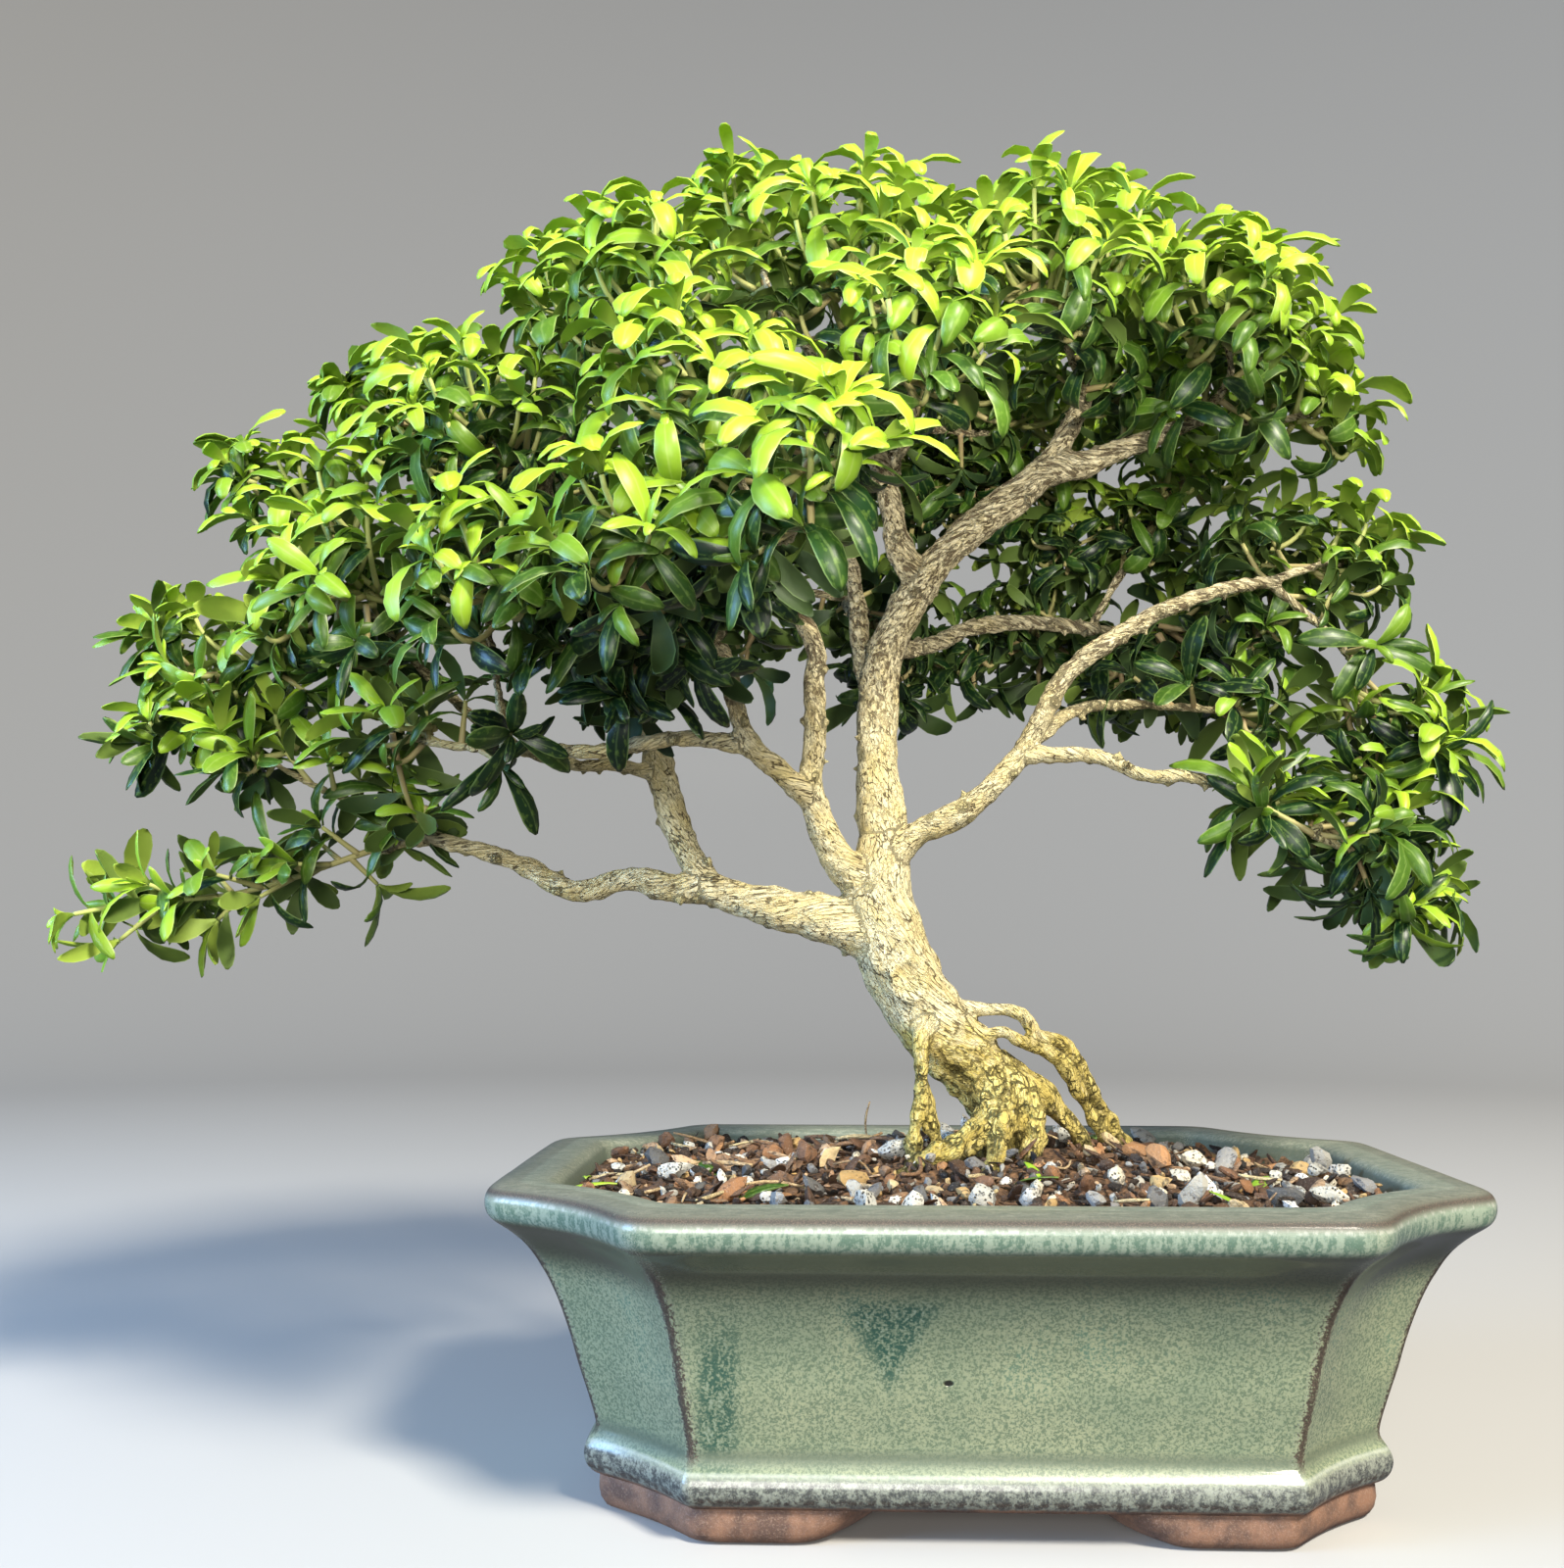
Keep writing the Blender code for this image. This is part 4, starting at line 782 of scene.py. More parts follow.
def strawTubes():
    # dry rootlets and stalks: a thin tube along a line that bends sideways as a half sine
    rng = np.random.default_rng(soilShape["seed"] + 1)
    count, rows = soilShape["straws"], soilShape["strawPoints"]
    spots = spreadSpots(count, rng, 6.0)
    spots[:, 0] = np.where(rng.random(count) < 0.55, -np.abs(spots[:, 0]), spots[:, 0])
    turn = rng.uniform(0, 2 * np.pi, count)
    aim = np.column_stack([np.cos(turn), np.sin(turn) * 0.7, rng.uniform(-0.12, 0.22, count)])
    # the first one stands upright at the back
    aim[0], spots[0] = (0.06, 0.0, 1.0), (-22.0, 34.0)
    side = unit(np.cross(aim, rng.normal(size=(count, 3))))
    t = np.linspace(-0.5, 0.5, rows)[None, :, None]
    long = rng.uniform(6, 17, count)[:, None, None]
    flat = np.clip(spots, -80, 80)
    centre = np.column_stack([flat, soilHeight(flat[:, 0], flat[:, 1]) + rng.uniform(1.2, 2.4, count)])
    centre[0, 2] += 4
    bow = side[:, None] * np.cos(t * np.pi) * long * rng.uniform(0.02, 0.2, (count, 1, 1))
    lines = centre[:, None] + aim[:, None] * t * long + bow
    radii = rng.uniform(0.28, 0.62, (count, 1)) * (1 - 0.7 * np.abs(t[..., 0]))
    points, quads, caps = thinTubes(lines, radii, [0.21, 0.34, 0.92])
    shades = np.array(palette["straw"])
    colours = np.repeat(shades[rng.integers(0, 4, count)], rows * tubeSides, axis=0)
    marks = {"stoneColour": colours, "pocked": np.zeros(len(points)), "drawn": np.ones(len(points))}
    return meshFrom("soil_straws", points, [quads, caps], marks)


def creased(mesh, angle):
    # true for an edge whose two faces turn by more than angle
    normals = np.zeros(len(mesh.polygons) * 3)
    mesh.polygon_normals.foreach_get("vector", normals)
    normals = normals.reshape(-1, 3)
    edges = np.zeros(len(mesh.loops), np.int32)
    mesh.loops.foreach_get("edge_index", edges)
    sizes = np.zeros(len(mesh.polygons), np.int32)
    mesh.polygons.foreach_get("loop_total", sizes)
    faceOf = np.repeat(np.arange(len(sizes)), sizes)
    pairs = faceOf[np.argsort(edges, kind="stable")].reshape(-1, 2)
    return np.einsum("ij,ij->i", normals[pairs[:, 0]], normals[pairs[:, 1]]) < math.cos(angle)


def gritFinish():
    # each stone's own colour, clouded and grained; pumice has pits, bark and straws have fibres
    f = Finish("grit", Specular_IOR_Level=0.4)
    spot = f.place()
    own = f.mark("stoneColour")["Color"]
    pocked = f.mark("pocked")["Fac"]
    drawn = f.mark("drawn")["Fac"]
    cloud = f.noise(spot, 1.6, 4.0, 0.65)
    grain = f.noise(spot, 0.33, 3.0, 0.65)
    fibres = f.noise(f.stretch(spot, (0.35, 1.4, 1.4)), 0.55, 3.0, 0.6, 0.6)
    pits = f.cells(spot, 0.80).rise(0.36, 0.16) * pocked * cloud.rise(0.38, 0.52)
    colour = f.mix(cloud.rise(0.34, 0.66) * 0.6, own, (0.62, 0.56, 0.48), "SOFT_LIGHT")
    colour = f.mix(fibres.rise(0.56, 0.42) * drawn * 0.55, colour, (0.075, 0.045, 0.028))
    colour = f.mix(grain.rise(0.58, 0.70) * 0.30, colour, (0.70, 0.64, 0.54))
    colour = f.mix(cloud.rise(0.46, 0.34) * 0.75, colour, (0.040, 0.028, 0.020))
    colour = f.mix(pits * 0.9, colour, (0.030, 0.030, 0.026))
    return f.feed(Base_Color=colour, Roughness=0.55 + grain * 0.35,
                  Normal=f.bump(cloud * 0.9 + grain * 0.4 + fibres * drawn * 0.5 - pits * 1.5, 0.6))


def groundFinish():
    # fine dark crumbs
    f = Finish("fine_soil")
    spot = f.place()
    crumbs = f.cells(spot, 1.3)
    cloud = f.noise(spot, 2.0, 4.0, 0.7)
    colour = f.ramp(crumbs * 0.6 + cloud * 0.6, [(0.2, (0.020, 0.014, 0.010)), (0.8, (0.20, 0.11, 0.055)),
                                               (0.5, (0.075, 0.042, 0.024))])
    return f.feed(Base_Color=colour, Roughness=0.75 + cloud * 0.2, Normal=f.bump(crumbs + cloud, 0.8))


gritPaint = gritFinish()
addPiece("soil_ground", soilGround(), groundFinish(), ["soil"])
scatterStones()
addPiece("soil_straws", strawTubes(), gritPaint)
print("soil done")


# The wood.

# x, y, z and radius along each limb; the trunk's foot is slimmer than its solid, and its roots
# spread wider
limbRoutes = {
    "trunk": [
        (9, 3.5, 57, 6.8), (8.6, 3, 68, 7.0), (7.8, 2.5, 76, 7.1), (5.0, 2, 83.2, 7.5), (0, 1.5, 89, 8.0),
        (-6, 1, 95, 8.3), (-10.5, 1, 101.5, 8.5), (-15.5, 0, 110.5, 8.2), (-18.5, 0, 119, 8.5),
        (-20.5, 0, 127, 8.3), (-19, 1, 137, 6.4), (-19, 2, 144, 5.2)],
    "main_stem": [
        (-19, 1, 139, 5.6), (-20, 3, 156, 4.8), (-20, 5, 171, 4.7), (-18, 6, 184, 4.4),
        (-13, 6, 195.5, 4.3), (-9, 6, 203, 4.2)],
    "right_arm": [
        (-11, 6, 199, 4.1), (-2.5, 4, 209.5, 4.0), (4.5, 2, 215.5, 3.8), (13, 0, 221.5, 3.7),
        (20, -3, 226.5, 3.5), (28.5, -6, 227, 2.8), (38.5, -9, 230, 2.4), (49, -11, 233.5, 2.0),
        (55.5, -12, 237, 1.6)],
    "right_arm_up": [
        (19, -2, 226, 2.8), (25, -6, 235.5, 2.5), (29, -10, 243, 1.8)],
    "left_arm": [
        (-10, 6, 202, 3.4), (-14.5, 3, 209.5, 3.2), (-16.5, -1, 218, 2.9), (-19, -6, 225, 2.7),
        (-21, -12, 228.5, 2.4), (-24, -20, 231, 2.0), (-27, -28, 236, 1.5)],
    "left_arm_up": [
        (-18, -4, 222, 2.2), (-15, 4, 233.5, 2.0), (-10, 11, 243, 1.5)],
    "left_stem_reach": [
        (-54, -46, 179, 1.5), (-48, -66, 187, 1.3), (-41, -84, 190.5, 1.2)],
    "back_stem": [
        (-19.5, 4, 170, 2.6), (-21.5, 8, 177, 2.6), (-23.5, 12, 186, 2.4), (-25, 18, 202, 2.2),
        (-27, 26, 215, 2.0), (-31, 32, 228, 1.5)],
    "back_stem_low": [
        (-24.5, 15, 195, 1.9), (-26, 32, 202, 1.7), (-25, 48, 207, 1.4)],
    "left_stem": [
        (-20, 0, 126, 5.0), (-26.5, -3, 132, 4.3), (-30, -5, 136, 3.8), (-32.5, -7, 141, 3.4),
        (-35.5, -10, 151, 3.2), (-34.5, -12, 163, 2.6), (-35, -14, 174.5, 2.4), (-34.5, -15, 181, 2.3),
        (-37.5, -18, 188.5, 2.1), (-41, -24, 195, 1.9), (-42, -36, 206, 1.6), (-40, -50, 214, 1.3)],
    "left_stem_arm": [
        (-35.5, -9, 148, 2.9), (-42.5, -17, 154, 2.6), (-48.5, -24, 159, 2.4), (-51, -30, 166, 2.1),
        (-53, -38, 174, 1.9), (-55, -50, 181, 1.5)],
    "left_stem_low": [
        (-48, -23, 158.5, 2.0), (-61, -28, 160, 1.8), (-71.5, -31, 158.5, 1.7), (-82.5, -33, 156.5, 1.6),
        (-96, -34, 157.5, 1.5), (-108, -34, 157, 1.3)],
    "low_limb": [
        (-17, 0, 115, 6.4), (-30.5, -2, 121, 5.4), (-43, -4, 123.5, 4.7), (-54, -5, 126.5, 4.0),
        (-59.5, -6, 128.5, 3.6)],
    "low_limb_up": [
        (-58, -5.5, 127.5, 3.4), (-63, -4, 134.5, 3.3), (-67.5, -1, 144, 3.2), (-70, 1, 152, 3.2),
        (-72, 3, 158.5, 3.4), (-73.5, 5, 163.5, 2.9), (-77, 8, 170, 2.6), (-84, 9, 183, 2.3),
        (-92, 5, 200, 2.0), (-97, 0, 214, 1.6), (-98, -6, 226, 1.3)],
    "low_limb_twig": [
        (-71, 2, 155, 1.8), (-81, -4, 157, 1.6), (-90, -8, 156.5, 1.4), (-104, -9, 161, 1.3),
        (-118, -12, 172, 1.2), (-128, -16, 182, 1.1)],
    "low_limb_left": [
        (-58, -5.5, 128, 3.3), (-68.5, -7, 128.5, 3.1), (-76.5, -8, 130.5, 2.8), (-89, -9, 127.5, 2.6),
        (-100.5, -10, 133, 2.2), (-109.5, -11, 136.5, 2.0), (-121, -12, 139.5, 1.7), (-133, -13, 146, 1.3)],
    "low_left_twig": [
        (-119, -11.5, 139, 1.4), (-128, -12, 138.5, 1.3), (-134, -12, 137, 1.2)],
    "right_limb": [
        (-19, 0, 134, 4.2), (-12, -2, 140.5, 3.2), (-1.5, -4, 145.5, 2.9), (5.5, -5, 151, 2.7),
        (14, -5, 160, 2.5)],
    "right_limb_up": [
        (13, -5, 159, 2.4), (17, -6, 167, 2.3), (23, -8, 177, 2.2), (32, -10, 184, 2.0),
        (43, -10, 190.5, 1.9), (54, -8, 195, 1.7), (64, -5, 198, 1.5), (72, -2, 199.5, 1.3)],
    "right_limb_mid": [
        (13, -5, 159.5, 1.8), (17.5, -4, 163.5, 1.7), (24, 0, 169, 1.5), (33, 4, 171.5, 1.4),
        (46, 5, 172, 1.3)],
    "right_limb_low": [
        (12.5, -5, 158.5, 2.0), (24, -10, 158, 1.8), (31.5, -13, 156.5, 1.6), (38.5, -15, 153, 1.5),
        (47, -16, 152.5, 1.4), (55, -16, 150.5, 1.15), (64, -20, 145, 0.85), (74, -25, 138, 0.7)],
    "back_right_limb": [
        (-17, 6, 185, 2.6), (-12, 14, 187, 2.2), (-4, 23, 190.5, 2.2), (3, 30, 195, 2.2),
        (15, 36, 198, 2.1), (26.5, 40, 198.5, 1.9), (38, 42, 197, 1.6)],
}
# each root leaves from inside the trunk, so that its blunt end never shows
rootRoutes = {
    "right_root": [
        (-9, 1, 97, 2.6), (-3, 1, 100.9, 2.1), (3.6, 0.5, 100.7, 1.7), (10.3, 1, 100.4, 1.65),
        (13.7, 2, 98.1, 1.7), (16, 3.5, 94.8, 1.8), (20.6, 5, 93.8, 1.8), (23.8, 6.5, 91.9, 1.9),
        (25.8, 8, 88.1, 2.0), (28.6, 10, 83.3, 1.9), (31.8, 13, 77.9, 1.8), (34.1, 15, 74, 1.8),
        (37.5, 17, 68.6, 1.8), (39.5, 18, 61, 1.8)],
    "right_root_under": [
        (-6, 0, 93, 2.4), (-2, -1, 97.3, 1.9), (3.3, -2, 95.4, 1.6), (7.9, -2, 95.7, 1.5),
        (11.1, -1, 93.9, 1.6), (14.8, 1.5, 92.2, 1.6), (18.6, 3, 90.6, 1.7), (22, 5.5, 88, 1.6),
        (25.4, 8.5, 83.2, 1.5), (28.4, 11.5, 78.4, 1.5), (31, 14, 73.5, 1.5), (33.5, 16, 68, 1.4),
        (35.5, 17, 60, 1.4)],
    "left_root": [
        (-6, -1, 100, 2.6), (-10.6, -6, 96.6, 2.0), (-11.1, -8, 92.7, 1.8), (-11.1, -8.5, 88.8, 1.6),
        (-11.3, -8.5, 84.4, 1.5), (-11.8, -8.5, 80, 1.5), (-12.7, -8.5, 75.5, 1.5),
        (-13.6, -8.5, 69.4, 1.6), (-14, -8, 61, 1.6)],
    "left_root_fork": [
        (-11.2, -8.5, 88, 1.3), (-10.4, -8, 84.5, 1.4), (-9.2, -7, 80.5, 1.4), (-8.6, -6.5, 76.2, 1.5),
        (-7.7, -6, 72.6, 1.6), (-7, -5.5, 62, 1.7)],
    "front_root": [
        (-2, 2, 92, 4.2), (3.4, 0, 85.5, 5.4), (5.2, -4, 79.6, 4.3), (1.6, -8, 74.2, 3.0),
        (-5.3, -11, 70.6, 2.5), (-13.4, -13.5, 67.2, 2.0), (-18, -15, 62, 1.6)],
    "front_mid": [
        (2, 2, 88, 4.0), (5.9, -2, 82, 4.5), (6.6, -7, 75.5, 3.2), (4.8, -11, 69.8, 2.5),
        (4, -13.5, 65, 2.2), (3.6, -15, 60, 2)],
    "front_right": [
        (4, 3, 89, 4.0), (9.7, 0, 82.8, 4.8), (12.9, -3, 77.3, 3.5), (13.6, -6, 72.7, 2.9),
        (12.4, -8, 67.7, 2.5), (12, -9, 61, 2.3)],
    "side_root": [
        (6, 4, 89, 3.6), (12.3, 3, 83.4, 4.0), (17.6, 5, 80, 3.4), (21.3, 6, 76.3, 2.4),
        (25.6, 7, 71.6, 1.9), (28, 7.5, 64, 1.8)],
    "far_root": [
        (4, 5, 86, 4.5), (7, 9, 77, 4.6), (5, 14, 71, 3.8), (3, 18, 64, 3.2), (2.5, 19, 59, 3.0)],
}
lowTwig = [(-136, -12, 136.5, 1.2), (-146, -12, 133, 1.1), (-161, -12, 128, 1.0),
            (-177, -13, 125.5, 0.9), (-197, -14, 124.5, 0.7)]
twigRoutes = {}
# middle and radius of each head of leaves; the lowest ones at the left sit higher than their solids,
# so that the open twig below them stands clear, and two at the right sit nearer to the trunk
headGroups = {
    "top": [(-90, -8, 264, 20), (-50, -6, 282, 20), (-8, -2, 278, 20), (36, 0, 278, 20),
        (72, 0, 262, 19), (-125, -8, 238, 19)],
    "front": [(-70, -50, 250, 20), (-28, -50, 257, 20), (14, -46, 258, 20), (52, -38, 252, 18),
        (-106, -48, 222, 20), (-55, -86, 216, 19), (-14, -84, 228, 18), (-34, -115, 194, 14),
        (-98, -70, 186, 17), (-68, -96, 186, 15), (-80, -52, 180, 14)],
    "left": [(-153, -6, 216, 18), (-137, -38, 192, 18), (-170, -14, 177, 16), (-160, -20, 158, 12),
        (-126, -30, 161, 11)],
    "right": [(85, 0, 240, 14), (93, 6, 206, 14), (76, 14, 212, 13), (98, 4, 168, 15), (82, -6, 142, 12),
        (96, -12, 129, 9), (66, 2, 168, 11)],
    "back": [(66, 50, 198, 18), (28, 74, 204, 19), (-16, 82, 208, 19), (-60, 66, 206, 19),
        (-94, 34, 198, 17), (-128, 30, 220, 16), (64, 44, 242, 18), (26, 48, 258, 19),
        (-18, 50, 262, 20), (-62, 44, 252, 20), (-102, 38, 240, 17)],
}
headPlaces = {f"spray_{group}_{number}": place for group, places in headGroups.items()
              for number, place in enumerate(places, 1)}
twigShape = {
    "standoff": 3.0, "clear": 1.5, "core": 0.82,             # room for the twig at its own and at other heads
    "bearer": 3.3, "shares": (0.35, 0.85),                   # thickest limb that bears one, places along it
    "radii": (1.2, 0.92, 0.8), "sag": 0.06,
}
woodShape = {
    "voxel": 0.72, "lumps": 0.30, "grain": 0.22, "per": 6, "sides": 14, "bend": 0.6, "stubs": 210,
    "apart": 37.0, "seed": 17,                               # bark space between two limbs
    "scarAt": (-13.5, -9.0, 107.5),
}


def offLine(point, start, end):
    # how far a point is from the nearest one between start and end
    along = end - start
    share = np.clip(np.dot(point - start, along) / np.dot(along, along), 0, 1)
    return np.linalg.norm(point - start - along * share)


def twigStart(name):
    # the nearest point of a thin limb from which the way to the head passes no other head
    middle = np.array(headPlaces[name][:3], float)
    reach = headPlaces[name][3] * twigShape["core"] + twigShape["standoff"]
    ways = []
    for route in limbRoutes.values():
        for a, b in zip(route, route[1:]):
            if b[3] < twigShape["bearer"]:
                ways += [np.array(a[:3]) * (1 - s) + np.array(b[:3]) * s for s in twigShape["shares"]]
    ways.sort(key=lambda p: np.linalg.norm(p - middle))
    for start in ways:
        others = ((np.array(h[:3], float), h[3]) for n, h in headPlaces.items() if n != name)
        far = np.linalg.norm(start - middle) > reach + 2
        if far and all(offLine(o, start, middle) > r + twigShape["clear"] for o, r in others):
            return start
    return ways[0]


def carriedTube(route, rng):
    # a ring of radius r carried along a smooth line that is bent a little; its side vector is kept
    # square to the line at each step
    line = smoothLine(route, woodShape["per"])
    centre, radius = line[:, :3], line[:, 3]
    swell = softNoise(centre + 30, 4.6, 23) * 0.09 + softNoise(centre + 70, 9.0, 24) * 0.06
    radius = radius * (1 + swell * np.clip(5.5 / np.maximum(radius, 1), 0.5, 1.3))
    wave = softNoise(centre + 50 * rng.random(3), 14.0, 21) * woodShape["bend"]
    wave = wave * np.sin(np.linspace(0, np.pi, len(line)))
    centre = centre + wave[:, None] * unit(np.cross(centre[-1] - centre[0], [0.3, 0.2, 0.9]))
    ahead = unit(np.gradient(centre, axis=0))
    side = np.array([0.31, -0.95, 0.07])
    frames = []
    for step in ahead:
        side = side - step * np.dot(side, step)
        side = side / np.linalg.norm(side)
        frames.append((side, np.cross(step, side)))
    frames = np.array(frames)[:, :, None]
    rows, sides = len(centre), woodShape["sides"]
    turn = fullTurn(sides)
    ring = np.cos(turn)[None, :, None] * frames[:, 0] + np.sin(turn)[None, :, None] * frames[:, 1]
    points = centre[:, None] + ring * radius[:, None, None]
    return points.reshape(-1, 3), gridFaces(rows, sides), endCaps(rows, sides), (centre, ahead, radius)


def woodSolid():
    # every limb, root and twig as a tube; a fine voxel grid then grows them together, and smoothing
    # rounds the forks
    rng = np.random.default_rng(woodShape["seed"])
    routes = [*limbRoutes.values(), *rootRoutes.values()]
    for name in headPlaces:
        start = twigStart(name)
        middle = np.array(headPlaces[name][:3], float)
        sag = rng.normal(size=3) * twigShape["sag"] * np.linalg.norm(middle - start)
        half = start * 0.5 + middle * 0.5 + sag - upwards * 0.6
        inner = start * 0.12 + middle * 0.88
        twigRoutes[name] = np.column_stack([np.array([start, half, inner]), twigShape["radii"]])
        routes.append(twigRoutes[name])
    # short stubs where leaves and twigs were cut off
    for limb in rng.choice([n for n in limbRoutes if n != "trunk"], woodShape["stubs"]):
        route = np.array(limbRoutes[limb], float)
        at = rng.integers(0, len(route) - 1)
        start = route[at] + (route[at + 1] - route[at]) * rng.random()
        aim = np.cross(unit(route[at + 1, :3] - route[at, :3]), unit(rng.normal(size=3)))
        tip = start[:3] + unit(aim) * (start[3] + rng.uniform(0.3, 1.5))
        size = rng.uniform(0.5, 0.95)
        routes.append([(*start[:3], size * 1.3), (*(start[:3] * 0.3 + tip * 0.7), size), (*tip, size * 0.8)])
    tubes = [carriedTube(np.array(route, float), rng) for route in routes]
    points, quads, caps = joinParts(tubes)
    blank = newObject("blank", meshFrom("blank", points, [quads, caps]))
    grow = blank.modifiers.new("grow", "REMESH")
    grow.mode = "VOXEL"
    grow.voxel_size = woodShape["voxel"] * 0.001
    soft = blank.modifiers.new("soft", "SMOOTH")
    soft.factor = 0.5
    soft.iterations = 3
    mesh = appliedMesh(blank)
    bpy.data.objects.remove(blank)
    return mesh, [tube[3] for tube in tubes]


def nearestPath(points, paths):
    # for each point the path sample with the least distance over radius, a block of points at a time
    centre = np.vstack([p[0] for p in paths])
    ahead = np.vstack([p[1] for p in paths])
    radius = np.concatenate([p[2] for p in paths])
    along = np.concatenate([lengthTo(p[0]) + woodShape["apart"] * i for i, p in enumerate(paths)])
    best = np.zeros(len(points), int)
    square = (centre ** 2).sum(1)
    for low in range(0, len(points), 6000):
        block = points[low:low + 6000]
        gap = (block ** 2).sum(1)[:, None] + square[None] - 2 * block @ centre.T
        best[low:low + 6000] = (gap / radius[None] ** 1.4).argmin(1)
    return centre[best], ahead[best], radius[best], along[best]


def makeWood():
    # the grown mesh, each point pushed out along its normal by lumps, knots, folds and scars
    mesh, paths = woodSolid()
    co = np.zeros(len(mesh.vertices) * 3, np.float32)
    mesh.vertices.foreach_get("co", co)
    points = (co.reshape(-1, 3) - potMiddle) * 1000
    normals = np.zeros(len(mesh.vertices) * 3, np.float32)
    mesh.vertex_normals.foreach_get("vector", normals)
    normals = normals.reshape(-1, 3)
    centre, ahead, radius, along = nearestPath(points, paths)
    offset = points - centre
    beyond = (offset * ahead).sum(1)
    offset = offset - ahead * beyond[:, None]
    # bark space: across the limb as it is, along it drawn out to a little over twice the length
    bark = offset + np.array([0.35, 0.25, 0.90]) * ((along + beyond) * 0.45)[:, None]
    thick = np.clip(radius / 8, 0.12, 1)
    low = np.clip((100 - points[:, 2]) / 25, 0, 1)
    lumps = softNoise(points, 5.5, 31) * woodShape["lumps"] * (0.8 + 2.6 * low ** 2)
    high = np.clip((points[:, 2] - 180) / 25, 0, 1)
    lumps = lumps + softNoise(bark, 1.5, 37) * 0.42 * high
    lumps = lumps + softNoise(points, 2.6, 34) * (0.12 + 0.34 * low)
    lumps = lumps + softNoise(bark, 1.7, 32) * woodShape["grain"]
    knots = np.clip(softNoise(bark, 4.0, 33) - 0.42, 0, 1) * 1.9
    # at its foot the trunk is knobbly, with creases that run down into the roots
    foot = np.clip((92 - points[:, 2]) / 18, 0, 1)
    creases = (0.35 - np.abs(softNoise(bark * (1, 1, 0.7), 2.8, 35))) * 2.5
    folds = creases + np.clip(softNoise(points, 3.0, 36), -0.4, 1) * 2.1
    lumps = lumps + folds * foot
    # scars of old leaf pairs roughen the bare limbs
    scars = softNoise(points, 1.7, 38) * 0.34 * (1 - low) * (1 - 0.5 * thick)
    points = points + normals * ((lumps + knots) * np.sqrt(thick) + scars)[:, None]
    # a healed cut on the trunk: a ring that stands up round a shallow hollow
    scar = np.linalg.norm((points - np.array(woodShape["scarAt"])) * np.array([1, 0.7, 0.85]), axis=1)
    healed = 0.9 * np.exp(-((scar - 4.0) / 0.9) ** 2) - 0.5 * np.exp(-(scar / 2.6) ** 2)
    points = points + normals * healed[:, None]
    mesh.vertices.foreach_set("co", (points * 0.001 + potMiddle).astype(np.float32).ravel())
    addMark(mesh, "barkSpot", bark)
    addMark(mesh, "barkKind", np.column_stack([radius, points[:, 2], 0 * radius]))
    mesh.polygons.foreach_set("use_smooth", np.ones(len(mesh.polygons), bool))
    mesh.update()
    return mesh


